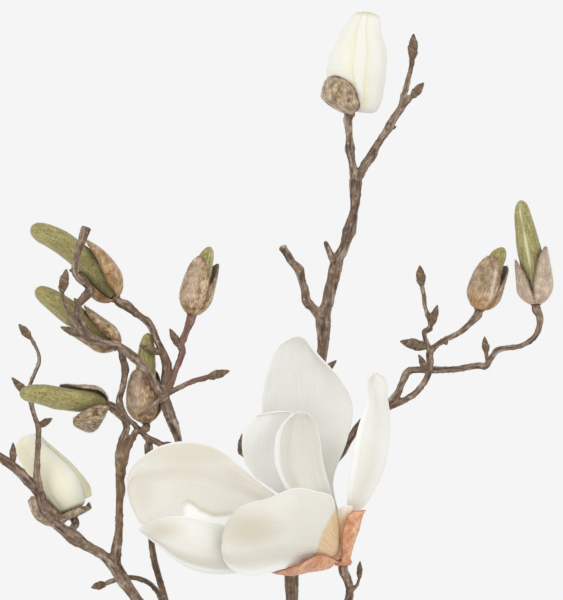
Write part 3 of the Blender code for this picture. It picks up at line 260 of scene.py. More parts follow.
# White buds: the axis, the radius at fractions of it, and the bracts as above.
WHITE_BUDS = {
    "left": (
        [(-88, 0, 300.5), (-91.5, 0.5, 309), (-96.5, 1, 318), (-103, 1, 326.8), (-109, 1, 334.8),
         (-113, 1, 342)],
        [(0, 2), (0.07, 6.4), (0.17, 10), (0.28, 11.9), (0.42, 12), (0.6, 10.2), (0.8, 8), (0.93, 7),
         (1, 5)],
        [(104, 30, 3.6, 9.8, 10, 2.4), (10, 76, 2.8, 9.5, 9.9, 2)],
    ),
    "top": (
        [(49.5, 17, 502), (51.5, 17, 509), (53, 17, 517.5), (54.5, 17, 530), (56.3, 17, 540),
         (57.8, 17, 548), (58.7, 17, 554.5)],
        [(0, 2), (0.065, 4.6), (0.16, 11.3), (0.3, 14.8), (0.52, 14.6), (0.72, 12), (0.88, 8.2), (1, 5)],
        [(-44, 58, 18, 16, 15.4, 2.4), (216, 38, 12.5, 15.4, 15, 2.2)],
    ),
}
WHITE_BUD_START = 3.4

# The open scoop below the left white bud, in rows as for a tepal.
LEFT_SCOOP = [
    ((-87.5, -2, 302.4), (-89.8, 0, 302), (-87.5, 2, 302.4)),
    ((-92, -7.6, 302), (-96, 0, 297), (-92, 8, 302)),
    ((-97, -9.6, 306.5), (-104, 0, 298.8), (-97, 10, 306)),
    ((-102, -9.8, 309.8), (-108.8, 0, 303.6), (-102, 10.2, 309.4)),
    ((-109, -5, 312), (-110.8, 0, 309.6), (-109, 5, 311.6)),
]

# Bloom. A tepal is a list of rows from its claw to its tip, and a row is one edge, the middle and the
# other edge.
BLOOM_BASE = [(46.4, -3.3, 280.7, 5), (46.3, -3.5, 282, 7), (45.9, -4.4, 284.5, 10), (45.2, -5.6, 288, 13),
              (44.4, -7, 291.5, 12.5)]
TEPALS = {
    "back": [
        ((41, -4, 288), (44, -2, 287), (47, -3, 288)),
        ((30, 4, 302), (38, 5, 299), (45, 3, 301)),
        ((17, 6, 320), (30, 12, 317), (41.5, 4, 320)),
        ((8, 3, 340), (29, 14, 338), (48.6, 3, 340)),
        ((6, -1, 358), (29, 10, 358), (51, 0, 357)),
        ((9, -4, 375), (28, 5, 376), (45, -2, 370)),
        ((13.5, -5, 386), (25, 1, 388), (34, -4, 381.5)),
        ((20.5, -5, 391), (24.5, -3, 391.8), (28, -4, 390)),
    ],
    "right": [
        ((46, -8, 288), (48.6, -6, 287), (48.6, -3.6, 288)),
        ((48, -9, 301), (51, -6, 300), (51.5, -1, 301)),
        ((48.5, -12, 311), (58, -5, 310), (58, 4, 312)),
        ((50, -14, 325), (65, -3, 324), (63, 10, 325)),
        ((52.5, -14, 340), (68, -2, 339), (66, 13, 339)),
        ((55.5, -12, 351), (68.2, 0, 352), (67.8, 12, 351)),
        ((58.2, -9, 358), (66.4, 1, 361), (68.6, 8, 360)),
        ((57.8, -6, 366), (64, 1.5, 368.2), (69, 4, 367)),
        ((58.8, -4, 370), (63.2, 1.5, 372.6), (67.4, 2.6, 370.8)),
        ((61, -3, 372.4), (63, 0.6, 373.6), (65.4, 1.6, 372.4)),
    ],
    "left_upper": [
        ((41, -7, 289), (42, -9, 286), (43, -11, 285)),
        ((30, -10, 302), (32, -15, 294), (34, -20, 291)),
        ((10, -17, 315), (14, -24, 302), (16, -34, 294)),
        ((-2, -18, 325), (-2, -28, 308), (0, -42, 296)),
        ((-16, -17, 336), (-17, -31, 312), (-17, -45, 296.5)),
        ((-30, -17, 339.5), (-32, -33, 314), (-31, -45, 297.5)),
        ((-45, -19, 337), (-47, -33, 313), (-44, -43, 297)),
        ((-57, -23, 329), (-57, -34, 312), (-50, -41, 297.6)),
        ((-61.5, -26, 321), (-60, -33, 310), (-54.4, -39, 298.6)),
    ],
    "left_lower": [
        ((42, -10, 287), (42, -11, 284.5), (43, -10, 283)),
        ((30, -24, 292), (30, -28, 285), (31, -24, 281)),
        ((12, -40, 296.5), (11, -45, 284), (12, -37, 276.2)),
        ((-7, -50, 297), (-7, -55, 285), (-4, -47, 274.6)),
        ((-23, -53, 301), (-23, -59, 287.5), (-20, -50, 274.4)),
        ((-35, -52, 302.8), (-36, -57, 290.5), (-33, -50, 278.4)),
        ((-46, -50, 301), (-46, -54, 294), (-43.8, -49, 286.6)),
        ((-54, -48, 297.6), (-55.2, -49, 296.2), (-54, -48, 294.8)),
    ],
    "front": [
        ((46, -8.6, 287), (45, -8.6, 285), (44, -7, 283.6)),
        ((45, -13.5, 295), (42, -17, 287), (39, -13, 281)),
        ((43, -18, 303), (38, -25, 291), (34, -19, 280)),
        ((41, -22, 312), (34, -32, 295), (29, -25, 279.6)),
        ((33, -28, 315), (26, -42, 297), (21, -34, 277.4)),
        ((22, -37, 316.5), (15, -52, 297), (13, -43, 275.5)),
        ((9, -47, 311.5), (4, -60, 295), (4, -51, 273.5)),
        ((-1, -54, 309), (-6, -65, 293), (-4, -57, 274)),
        ((-8, -58, 304.5), (-12, -65, 291), (-10, -60, 277.5)),
        ((-12, -60, 297), (-14, -62, 289.5), (-13.2, -60, 282)),
    ],
    "inner_left": [
        ((41, -4.4, 290), (43, -3, 289), (45, -3.6, 289)),
        ((29, -6, 303), (34, -2, 300), (39, -3, 303)),
        ((12, -8.5, 315), (20, -4, 313), (28, -4, 316)),
        ((2, -7.5, 322), (12, -3, 322), (23, -4, 325)),
        ((-3.5, -6.5, 332), (8, -2, 333), (22, -3, 336)),
        ((-3.5, -6.5, 344), (9, -4, 345), (24, -3, 346)),
        ((1, -7, 350.5), (11, -6, 353), (23, -4, 352.5)),
        ((7, -7, 353), (12, -8, 354), (19, -6, 354)),
    ],
    "inner_right": [
        ((43, -4, 290), (45, -3.6, 289), (47.6, -5.6, 290)),
        ((34, -8, 304), (39, -4.6, 301), (43.5, -6.4, 303)),
        ((20, -18, 314), (30, -10, 312), (40.4, -11, 315)),
        ((13.5, -20, 325), (26, -9, 323), (37.6, -11, 325)),
        ((12, -20, 334), (24.5, -8, 333), (35.6, -11, 335)),
        ((13, -19, 343), (24.5, -8, 343), (34.4, -11, 343)),
        ((16.5, -17, 349), (24.5, -9, 350.5), (32, -11, 349.8)),
        ((21.5, -14, 353), (25, -11, 354.5), (28.6, -12, 353.4)),
    ],
    "inner_front": [
        ((41.4, -11, 290), (41.4, -11, 288), (42.4, -10, 286.6)),
        ((31, -22, 300), (31, -23, 293), (33, -20, 288)),
        ((20, -28, 306), (19, -34, 295), (21, -28, 287)),
        ((9, -35, 307), (8, -42, 296), (11, -37, 287)),
        ((1, -40, 304), (0, -45, 297), (2, -43, 290)),
    ],
}
BLOOM_BRACT_LOW = [
    ((44.4, -7, 279.2), (42.8, -5.5, 279), (43, -1.5, 279)),
    ((38.5, -20, 282.4), (38, -16, 277), (39, -6, 276)),
    ((33, -29.5, 283), (30.5, -25.5, 276.6), (30, -13, 274.6)),
    ((23, -38.5, 278), (21, -30, 273.8), (21, -20, 273.6)),
    ((12, -35, 274.6), (11, -31, 274.2), (12, -27, 274.2)),
]
BLOOM_BRACT_RIGHT = [
    ((45.6, -7.4, 279), (48.4, -6, 279), (49.8, -2, 279)),
    ((45.8, -13.2, 285), (48.8, -11, 284.5), (51, -5, 285)),
    ((46.2, -17.5, 294), (50.2, -16.5, 294), (54, -11, 294)),
    ((48.4, -18.5, 301), (52.4, -17, 301), (56, -13, 301)),
    ((51, -18.5, 304.8), (54.6, -17.2, 305), (57.8, -15.5, 305.2)),
]
BLOOM_KNOB = [(46.5, -3.05, 277.4, 7.6), (46.45, -3.15, 279, 9.6), (46.4, -3.3, 280.3, 8)]
HEART_FOOT = (43.4, -8.2, 292)
HEART_AXIS = Vector((-0.52, -0.5, 0.69)).normalized()
HEART_LENGTH = 15
HEART_RADIUS = 2.4
STAMENS = 20
CARPELS = 12

# What only the scene needs
CAMERA_DISTANCE = 6000
PICTURE_HEIGHT = 300
PICTURE_MIDDLE = (15.75, 410)
# In metres: each light's place, its width and its power, what the lights point at, and the floor
LIGHTS = {"Key": ((-1.2, -1.4, 1.6), 1.0, 9.5), "Fill": ((1.4, -1.2, 0.9), 1.2, 5.5)}
LIT_SPOT = (0, 0, 0.4)
FLOOR_RADIUS = 3
FLOOR_DROP = 0.0005
SKY = (245, 245, 245)
# How many points each grid has, or how many steps, along and across
BRACT_GRID = (44, 40)
SCOOP_GRID = (30, 30)
CORE_GRID = (90, 56)
WHITE_BUD_GRID = (84, 150)
STRIP_GRID = (60, 12)
TEPAL_GRID = (80, 60)
CLAW_FAN_GRID = (20, 20)
CLAW_SIDE_GRID = (20, 16)
SALMON_GRID = (36, 30)
VASE_SIDES = 112
# The bark: how finely a branch's twigs grow together, its ridges, roughness and warts, and old buds' scars
TWIG_STEP = 0.7
VOXEL = 0.56
RIDGE_RUN = 6
RIDGE_WIDTH = 0.9
RIDGE_HEIGHT = 0.2
ROUGH_HEIGHT = 0.14
WART_HEIGHT = 0.2
SCAR_HEIGHTS = (0.12, 0.3)
SCAR_WIDTH = 0.55
SCAR_GAPS = (4, 13)
SCAR_FREE = 3  # no scar so near a twig's end
SEAT_REACH = 0.7  # how far a twig's end reaches into the knob of the bud it carries
# A leaf bud's outline, as its width at parts of its length. One longer than STALKED widths is on a stalk.
SQUAT_LEAF_BUD = [
    (0, 0.44), (0.1, 0.68), (0.22, 0.9), (0.45, 1), (0.62, 0.9), (0.75, 0.7), (0.88, 0.42), (0.95, 0.28),
    (1, 0.1),
]
STALKED_LEAF_BUD = [(0, 0.48), (0.45, 0.5), (0.55, 0.85), (0.66, 1), (0.8, 0.75), (0.92, 0.4), (1, 0.1)]
STALKED = 3.3
SCALE_TURNS = 2.3  # how often its scales' edge winds round it
# The bracts' tints: pale, gold at the foot, warm gold all over, grey towards the tip, a brown rim, a pale
# edge, a pale middle, and a streak of painted highlight
PLAIN_TINTS = {"pale": 0, "gold": 0, "warm": 0, "grey": 0, "rim": 0.5, "edge": 0, "middle": 0, "streak": 0}
BRACT_TINTS = {
    "a": {"gold": 0.7, "warm": 0.65},
    "b": {"gold": 0.35, "warm": 0.15, "grey": 0.15},
    "c": {"pale": 0.2, "grey": 0.2},
    "d": {"pale": 0.1, "gold": 0.4, "warm": 0.2, "middle": 0.6},
    "g": {"gold": 0.6, "warm": 0.3, "middle": 0.8},
    "j": {"grey": 0.5, "gold": 1, "warm": 0.3, "streak": 1.8, "middle": 0.2},
    "k": {"pale": 0.9, "gold": 0.3, "rim": 0.7, "edge": 0.3},
    "left": {"pale": 0.2},
    "top": {"pale": 0.2, "grey": 0.2, "rim": 1, "edge": 0.4},
}
BRACT_FOOT = GAP + 1  # where a bract leaves its knob, along the bud's axis
BRACT_WIDEST_AT = 0.34  # as a part of its length
KNOB_WIDTHS = [(0, 5), (1.2, 6), (KNOB_LENGTH, 5)]
# Where each core's crease runs, as an angle, and how much of a pale seam lies in it
CREASES = {
    "a": (-150, 0), "b": (-150, 0), "c": (-120, 0), "d": (30, 0.2), "g": (-60, 0), "j": (60, 0.2),
    "k": (-22, 0.9),
}
CORE_START = GAP + KNOB_LENGTH + 0.04
CORE_TIP = 2.6  # the length over which a core's tip rounds off
CORE_TIP_BLUNT = 2.66  # a little more, which leaves it blunt
CORE_ROOM = 1.1  # kept free inside a bract, besides the gap
WHITE_BUD_ROOM = 0.4
LYING_BUDS = "abc"
# A white bud: how long its closing crown is; how creamy, dull at the top and light it is; its folds as
# angles at foot, middle and top, depth, width in degrees and yellow; its left and right outline, where
# they differ from its radius; and its free strip's two angles and yellow
BUD_FORMS = {
    "left": {
        "crown": 3.5, "cream": 0.5, "cap": 0.2, "light": 0.9,
        "folds": [
            ((-34, -28, -20), 0.5, 22, 0.45), ((120, 130, 140), 0.9, 20, 0.4),
            ((-110, -120, -130), 0.9, -20, 0.4), ((190, 175, 165), 0.8, 18, 0.4),
        ],
        "strip": (66, 97, 0.7),
    },
    "top": {
        "crown": 2.4, "cream": 0.14, "cap": 0.9, "light": 0.1,
        "folds": [
            ((6, -9, -24), 0.6, -15, 0.6), ((16, 16, 0), 0.6, 15, 0.6), ((100, 112, 124), 0.9, 18, 0.4),
            ((-100, -112, -124), 0.9, -18, 0.4), ((190, 180, 165), 0.9, 16, 0.45),
        ],
        "left": [
            (0, 3), (0.065, 9), (0.16, 13.3), (0.25, 15.3), (0.475, 15.9), (0.57, 14.4), (0.675, 12.4),
            (0.8, 10.6), (0.94, 7.2), (1, 6),
        ],
        "right": [
            (0, 5), (0.035, 9), (0.08, 12), (0.165, 14.5), (0.24, 15.5), (0.505, 14), (0.57, 14.4),
            (0.675, 13.2), (0.75, 10.8), (0.85, 8.2), (0.905, 7.4), (1, 6.4),
        ],
    },
}
# Each tepal: the side its rolled rim is on, where across it the rim's crease lies, its depth, the painted
# shade below it and how strong the painted highlight on the rim is
TEPAL_FORMS = {
    "back": (1, 0.86, 0.5, 0.3, 0.75),
    "right": (-1, 0.8, 0.4, 0.4, 0.6),
    "left_upper": (-1, 0.66, 0.9, 0.6, 0.1),
    "left_lower": (1, 0.74, 0.7, 0.5, 0.75),
    "front": (1, 0.8, 0.5, 0.5, 0.75),
    "inner_left": (-1, 0.8, 0.12, 0.0, 0.75),
    "inner_right": (-1, 0.72, 0.6, 0.45, 0.9),
    "inner_front": (-1, 0.7, 0.4, 0.5, 0.75),
}
# The fold near the lower edge of the upper left tepal, as x and z, and its depth
FOLD_LINE = [(-34, 306.8), (-31, 309.6), (-28.5, 309), (-25, 306), (-18, 303), (-11, 303.5), (-6, 304)]
FOLD_DEPTH = 1.1
# Soft places of painted light (above 0) and painted shade (below 0) on the tepals: x, z, reach in x, reach in
# z, amount
TEPAL_PAINTED_LIGHT_AND_SHADE = {
    "inner_left": [(8, 335, 60, 60, 1.0)],
    "back": [(46, 350, 16, 28, 0.7), (44, 315, 7, 22, 1)],
    "right": [(60, 340, 12, 34, 0.2)],
    "inner_right": [(30, 340, 18, 24, -0.35)],
    "left_upper": [
        (-30, 322, 60, 50, -0.42), (-30, 335, 45, 10, -0.75), (-54, 316, 12, 16, -0.6),
        (-10, 322, 22, 12, -0.55),
    ],
    "left_lower": [(-30, 285, 60, 30, -0.15), (-44, 296, 11, 5, -0.8), (-25, 283, 25, 8, -0.25)],
    "front": [(15, 295, 70, 40, -0.34), (-1, 297, 20, 11, -0.9), (24, 298, 22, 14, -0.3)],
}
# Where the white of the front tepal gives way to its claw, as z and x
FRONT_CLAW = [
    (276, 30.5), (280, 31.5), (286, 33), (290.4, 34.6), (295, 36.2), (301.5, 39.8), (304.8, 42), (307.5, 44),
    (312, 47),
]
# Two thin pieces of claw beside the front tepal
CLAW_FAN = [
    ((38, -8, 279.8), (42, -8, 280), (45.4, -8, 281)),
    ((33, -10, 283), (38, -11, 287), (43.5, -9.5, 290)),
    ((29.5, -12, 290), (35, -14, 296), (42.5, -11.5, 298)),
    ((31, -13, 296), (36.5, -14, 300.5), (41.5, -12.5, 303)),
]
CLAW_SIDE = [
    ((45, -9.6, 284), (46, -10.4, 284), (47.2, -9.6, 285)),
    ((44, -12.6, 294), (46.4, -14.4, 294), (48.8, -13, 295)),
    ((43.4, -14.4, 301.5), (46.8, -15.8, 301.5), (50.4, -14.4, 302.5)),
    ((44.8, -13.8, 306), (48, -14.8, 307.6), (51.4, -13, 307)),
]
LIP_RADIUS = 1.9
BARE_FOOT = 1.5  # how high the unglazed foot reaches
HAIR_LENGTH = 1.6
HAIR_LIFT = 0.3
HAIR_WIDTH = 0.07
HAIRS_PER_AREA = 3  # on each square millimetre of a bract
SCOOP_HAIRS = 900
SCOOP_HAIR_LENGTH = 1.2
# Stamens and carpels wind up the heart. Each is: its reach outwards, its climb, its three widths and green.
STAMEN_FORM = (2.6, 5.5, (1.0, 1.25, 0.5), 0.0)
CARPEL_FORM = (1.6, 2.4, (1.2, 0.9, 0.45), 0.4)
GOLDEN_ANGLE = 137.5


# Noise, curves and grids

def lattice(cells, seed):
    """A repeatable value from 0 to 1 for each whole-numbered cell."""
    mixed = cells[..., 0] * 73856093 ^ cells[..., 1] * 19349663 ^ cells[..., 2] * 83492791
    mixed = mixed ^ (seed + 1) * 2654435
    mixed = (mixed ^ (mixed >> 13)) * 1274126177 & 0x7FFFFFFF
    return ((mixed ^ (mixed >> 15)) & 0xFFFF) / 0xFFFF


def grain(places, size, seed=0, octaves=2):
    """Smooth noise from -1 to 1, with features about as large as size, at points or at three coordinates."""
    if isinstance(places, tuple):
        places = np.stack(np.broadcast_arrays(*places), axis=-1)
    spots = np.asarray(places, float) / size
    total = np.zeros(spots.shape[:-1])
    strength = 1.0
    for octave in range(octaves):
        low = np.floor(spots).astype(np.int64)
        part = spots - low
        part = part * part * (3 - 2 * part)
        for corner in range(8):
            step = np.array([(corner >> bit) & 1 for bit in range(3)])
            weight = np.prod(np.where(step, part, 1 - part), axis=-1)
            total += strength * weight * (2 * lattice(low + step, seed * 7 + octave) - 1)
        strength *= 0.5
        spots = spots * 2 + 17.3
    return total / (2 - 2 * strength)


def ease(low, high, value):
    """0 at low, 1 at high, smooth between and level beyond."""
    part = np.clip((value - low) / (high - low), 0, 1)
    return part * part * (3 - 2 * part)


def bell(value, width):
    """1 where the value is 0, falling away over about a width on both sides."""
    return np.exp(-((value / width) ** 2))


def unit(vectors):
    """The vectors, each a millimetre long."""
    return vectors / np.maximum(np.linalg.norm(vectors, axis=-1, keepdims=True), 1e-9)


def circle(count, whole=2 * np.pi):
    """Evenly spaced angles round a whole turn."""
    return whole * np.arange(count) / count


def close_edges(count):
    """Values from -1 to 1, closer together at both ends."""
    return -np.cos(np.pi * np.arange(count) / (count - 1))


def read_table(table, at):
    """Reads a table of places and values, straight between its places."""
    return np.interp(at, [place for place, _ in table], [value for _, value in table])


def smooth(values, reach):
    """A running mean over as many neighbours each way as reach."""
    soft = np.pad(values, reach, mode="edge")
    return sum(soft[shift:shift + len(values)] for shift in range(2 * reach + 1)) / (2 * reach + 1)


def blend(points, at):
    """Reads a smooth curve through evenly spaced points at places from 0 to 1."""
    spots = np.asarray(points, float)
    place = np.clip(at, 0, 1) * (len(spots) - 1)
    index = np.minimum(place.astype(int), len(spots) - 2)
    part = (place - index)[:, None]
    before, first = spots[np.maximum(index - 1, 0)], spots[index]
    second, after = spots[index + 1], spots[np.minimum(index + 2, len(spots) - 1)]
    return 0.5 * (
        2 * first
        + (second - before) * part
        + (2 * before - 5 * first + 4 * second - after) * part**2
        + (3 * first - before - 3 * second + after) * part**3
    )


class Line:
    """A smooth route with its width, and two directions square to it, at even steps."""

    def __init__(self, route, step):
        points = np.array(route, float)
        runs = np.linalg.norm(np.diff(points[:, :3], axis=0), axis=1)
        marks = np.concatenate([[0], np.cumsum(runs)])
        slopes = np.diff(points[:, :3], axis=0) / runs[:, None]
        tangents = np.vstack([slopes[:1], np.zeros((len(runs) - 1, 3)), slopes[-1:]])
        before, after = runs[:-1, None], runs[1:, None]
        tangents[1:-1] = (slopes[:-1] * after + slopes[1:] * before) / (before + after)
        self.marks = np.linspace(0, marks[-1], max(3, round(marks[-1] / step)) + 1)
        index = np.clip(np.searchsorted(marks, self.marks, side="right") - 1, 0, len(runs) - 1)
        run = runs[index][:, None]
        part = (self.marks - marks[index])[:, None] / run
        self.middle = (
            points[index, :3] * (1 - 3 * part**2 + 2 * part**3)
            + points[index + 1, :3] * (3 * part**2 - 2 * part**3)
            + tangents[index] * run * (part - 2 * part**2 + part**3)
            + tangents[index + 1] * run * (part**3 - part**2)
        )
        soft = np.pad(np.interp(self.marks, marks, points[:, 3]), 2, mode="edge")
        width = (soft[:-4] + 2 * soft[1:-3] + 2 * soft[2:-2] + 2 * soft[3:-1] + soft[4:]) / 8
        self.radius = width[:, None] / 2
        heading = unit(np.gradient(self.middle, axis=0))
        side = unit(np.cross(heading[0], (0.3, 1, 0.2)))
        sides = []
        for one in heading:
            side = unit(side - one * np.dot(side, one))
            sides.append(side)
        self.side = np.array(sides)
        self.other = np.cross(heading, self.side)

    def rings(self, angle, radius, flat=1):
        """A ring of points at each step, pressed flatter across where flat is below 1."""
        out = self.side[:, None] * np.cos(angle)[:, None]
        out = out + flat * self.other[:, None] * np.sin(angle)[:, None]
        return self.middle[:, None] + out * radius[..., None]


class Axis:
    """A bud's smooth axis, read by distance from its foot."""

    def __init__(self, points, samples=60):
        self.spots = blend(points, np.linspace(0, 1, samples + 1))
        steps = np.diff(self.spots, axis=0)
        self.marks = np.concatenate([[0], np.cumsum(np.linalg.norm(steps, axis=1))])
        self.length = self.marks[-1]

    def at(self, distance):
        """The point, the front and the right direction at each distance."""
        distance = np.atleast_1d(np.asarray(distance, float))
        index = np.clip(np.searchsorted(self.marks, distance) - 1, 0, len(self.marks) - 2)
        step = self.spots[index + 1] - self.spots[index]
        part = (distance - self.marks[index]) / np.linalg.norm(step, axis=1)
        before = np.maximum(index - 1, 0)
        after = np.minimum(index + 2, len(self.marks) - 1)
        heading = unit(self.spots[after] - self.spots[before])
        front = np.array((0.0, -1.0, 0.0))
        front = unit(front - heading * (heading @ front)[:, None])
        return self.spots[index] + step * part[:, None], front, np.cross(heading, front)

    def around(self, distance, radius, degrees):
        """Points at a radius and an angle round the axis: 0 front, 90 right or up, 180 back."""
        distance, radius, angle = np.broadcast_arrays(distance, radius, np.radians(degrees))
        middle, front, right = (part.reshape(distance.shape + (3,)) for part in self.at(distance.ravel()))
        out = front * np.cos(angle)[..., None] + right * np.sin(angle)[..., None]
        return middle + out * radius[..., None]


def seated(route, bud_route):
    """The route of a twig, with its last stretch turned square to the bud that it carries."""
    foot = np.array(bud_route[0], float)
    heading = unit(np.array(bud_route[1]) - foot)
    wide = route[-1][3]
    return route[:-1] + [(*(foot - heading * SEAT_RUN), wide), (*(foot + heading * SEAT_REACH), wide)]


def wall(rows, columns, closed):
    """The quads of a grid of points, closed round when it is a tube."""
    faces = []
    for low in range(0, (rows - 1) * columns, columns):
        for column in range(columns if closed else columns - 1):
            after = (column + 1) % columns
            faces.append((low + column, low + after, low + columns + after, low + columns + column))
    return faces


def square_to(grid):
    """The direction square to a sheet of points, at each of them."""
    return unit(np.cross(np.gradient(grid, axis=1), np.gradient(grid, axis=0)))


class Heap:
    """Points and faces on their way to one mesh, in millimetres, with named values at the points."""

    def __init__(self):
        self.points, self.faces, self.values, self.count = [], [], {}, 0

    def add(self, points, faces, **values):
        """More points and faces. A value that these or the earlier points lack is 0 there."""
        for label in {**self.values, **values}:
            had = self.values.get(label, np.zeros(self.count))
            new = np.broadcast_to(np.ravel(values.get(label, 0)), len(points))
            self.values[label] = np.concatenate([had, new])
        self.faces += [tuple(int(corner) + self.count for corner in face) for face in faces]
        self.points.append(points)
        self.count += len(points)

    def tube(self, rings, **values):
        """A closed tube through rings of points, with a point at the middle of each end."""
        rows, columns = rings.shape[:2]
        last = rows * columns
        faces = wall(rows, columns, True)
        for column in range(columns):
            after = (column + 1) % columns
            faces.append((last, after, column))
            faces.append((last + 1, last - columns + column, last - columns + after))
        for label, data in values.items():
            data = np.broadcast_to(data, (rows, columns))
            values[label] = np.concatenate([data.ravel(), [data[0].mean(), data[-1].mean()]])
        points = np.vstack([rings.reshape(-1, 3), rings[0].mean(axis=0), rings[-1].mean(axis=0)])
        self.add(points, faces, **values)

    def leaf(self, grid, thickness, flip=False, **values):
        """A sheet of points made solid, turned over for flip. Gives its outer skin."""
        turn = slice(None, None, -1 if flip else 1)
        grid = grid[:, turn]
        rows, columns = grid.shape[:2]
        count = rows * columns
        normal = square_to(grid)
        half = (np.broadcast_to(thickness, (rows, columns))[:, turn] / 2)[..., None]
        faces = wall(rows, columns, False)
        faces += [tuple(reversed([corner + count for corner in face])) for face in faces]
        order = np.arange(count).reshape(rows, columns)
        ring = [*order[0], *order[1:, -1], *order[-1, -2::-1], *order[-2:0:-1, 0]]
        for here, there in zip(ring, ring[1:] + ring[:1]):
            faces.append((there, here, here + count, there + count))
        for label, data in values.items():
            values[label] = np.tile(np.broadcast_to(data, (rows, columns))[:, turn].ravel(), 2)
        both = np.concatenate([grid + normal * half, grid - normal * half])
        self.add(both.reshape(-1, 3), faces, inner=np.repeat([0.0, 1.0], count), **values)
        return grid + normal * half, normal

    def hairs(self, skin, normal, count, length, seed, **values):
        """Short hairs on a grid of points, lying towards the grid's last row."""
        draw = np.random.default_rng(seed)
        rows, columns = skin.shape[:2]
        row, column = draw.uniform(0.3, rows - 1.01, count), draw.uniform(0, columns - 1.01, count)
        low, left = row.astype(int), column.astype(int)
        up, across = (row - low)[:, None], (column - left)[:, None]

        def read(field):
            near = field[low, left] * (1 - across) + field[low, left + 1] * across
            far = field[low + 1, left] * (1 - across) + field[low + 1, left + 1] * across
            return near * (1 - up) + far * up

        root, out = read(skin), unit(read(normal))
        along = unit(read(np.gradient(skin, axis=0)))
        lean = unit(along + out * HAIR_LIFT + draw.normal(0, 0.28, (count, 3)))
        side = unit(np.cross(lean, out)) * HAIR_WIDTH / 2
        reach = length * draw.uniform(0.55, 1.2, count)[:, None]
        bend = root + lean * reach * 0.55 - out * 0.05
        tip = bend + unit(lean - out * 0.25) * reach * 0.45
        sunk = out * 0.1
        corners = [root - side - sunk, root + side - sunk, bend + side * 0.7, bend - side * 0.7, tip]
        points = np.stack(corners, axis=1)
        faces = []
        for start in range(0, 5 * count, 5):
            faces += [(start, start + 1, start + 2, start + 3), (start + 3, start + 2, start + 4)]
        shade = np.repeat(draw.uniform(0, 1, count), 5)
        self.add(points.reshape(-1, 3), faces, hair=1.0, shade=shade, **values)

    def mesh(self, name):
        """The mesh, in metres, with the named values as attributes."""
        mesh = bpy.data.meshes.new(name)
        mesh.from_pydata((np.vstack(self.points) * MM).tolist(), [], self.faces)
        for label, data in self.values.items():
            mesh.attributes.new(label, "FLOAT", "POINT").data.foreach_set("value", data.astype(np.float32))
        return mesh


# Materials

def tone(red, green, blue):
    """A colour of the display turned into the linear one that shaders take."""
    parts = [part / 255 for part in (red, green, blue)]
    return (*(part / 12.92 if part <= 0.04045 else ((part + 0.055) / 1.055) ** 2.4 for part in parts), 1)


class Paint:
    """A procedural material, built node by node. Sizes are in millimetres and colours are the display's."""

    def __init__(self, name, roughness, **sockets):
        self.material = bpy.data.materials.new(name)
        self.material.use_nodes = True
        self.tree = self.material.node_tree
        self.shader = self.tree.nodes["Principled BSDF"]
        for label, value in {"Roughness": roughness, **sockets}.items():
            self.shader.inputs[label.replace("_", " ")].default_value = value
        self.place = self.node("TexCoord", "Object", {})

    def link(self, value, socket):
        """Joins a node's value to a socket, or sets the socket to a number or a colour."""
        if isinstance(value, bpy.types.NodeSocket):
            self.tree.links.new(value, socket)
        else:
            socket.default_value = tone(*value) if isinstance(value, tuple) else value

    def node(self, kind, output, inputs, **settings):
        """A new node with its inputs, by name or number, and its settings. Gives the output named."""
        node = self.tree.nodes.new("ShaderNode" + kind)
        for label, value in settings.items():
            setattr(node, label, value)
        for label, value in inputs.items():
            self.link(value, node.inputs[label])
        return node.outputs[output]

    def noise(self, size, detail, rough=0.55, place=None, distortion=0.0):
        """Noise with features about as large as size, in the object's space or at another place."""
        scale = 1 / size if place else 1 / MM / size
        inputs = {"Vector": place or self.place, "Scale": scale, "Detail": detail, "Roughness": rough}
        return self.node("TexNoise", "Fac", {**inputs, "Distortion": distortion})

    def streaks(self, along, across, labels, detail, rough, distortion=0.0):
        """Noise in streaks: the first value is how far along, and the others lie across."""
        sizes = zip(labels, (along, across, across))
        parts = [self.times(self.value(label), 1 / size) for label, size in sizes]
        place = self.node("CombineXYZ", "Vector", dict(enumerate(parts)))
        return self.noise(1.0, detail, rough, place, distortion)

    def value(self, label):
        """A named value at the points."""
        return self.node("Attribute", "Fac", {}, attribute_name=label)

    def times(self, value, factor):
        return self.node("Math", "Value", {0: value, 1: factor}, operation="MULTIPLY")

    def plus(self, value, other):
        return self.node("Math", "Value", {0: value, 1: other}, operation="ADD")

    def step(self, source, low, high, start=0.0, end=1.0):
        """Start below low, end above high, smooth between."""
        inputs = dict(enumerate((source, low, high, start, end)))
        return self.node("MapRange", "Result", inputs, interpolation_type="SMOOTHSTEP")

    def edge(self, low, high, most):
        """0 where the surface faces the eye, up to most where it turns away: the strength of a painted rim
        highlight.
        """
        return self.step(self.node("LayerWeight", "Facing", {"Blend": 0.35}), low, high, 0, most)

    def mix(self, factor, first, second):
        return self.node("Mix", 2, {0: factor, 6: first, 7: second}, data_type="RGBA")

    def tints(self, colour, *layers):
        """Lays colours over a colour, each as strong as a value at the points times an amount."""
        for label, amount, over in layers:
            value = self.value(label)
            colour = self.mix(value if amount == 1 else self.times(value, amount), colour, over)
        return colour

    def ramp(self, source, *stops):
        """Colours along a value, each stop its place and its colour."""
        node = self.tree.nodes.new("ShaderNodeValToRGB")
        steps = node.color_ramp.elements
        while len(steps) < len(stops):
            steps.new(0.5)
        for step, (place, colour) in zip(steps, stops):
            step.position = place
            step.color = tone(*colour)
        self.link(source, node.inputs["Fac"])
        return node.outputs["Color"]

    def bump(self, height, distance, strength, **under):
        inputs = {"Strength": strength, "Distance": distance * MM, "Height": height, **under}
        return self.node("Bump", "Normal", inputs)

    def finish(self, colour, normal=None, roughness=None):
        for label, value in (("Base Color", colour), ("Normal", normal), ("Roughness", roughness)):
            if value:
                self.link(value, self.shader.inputs[label])
        return self.material


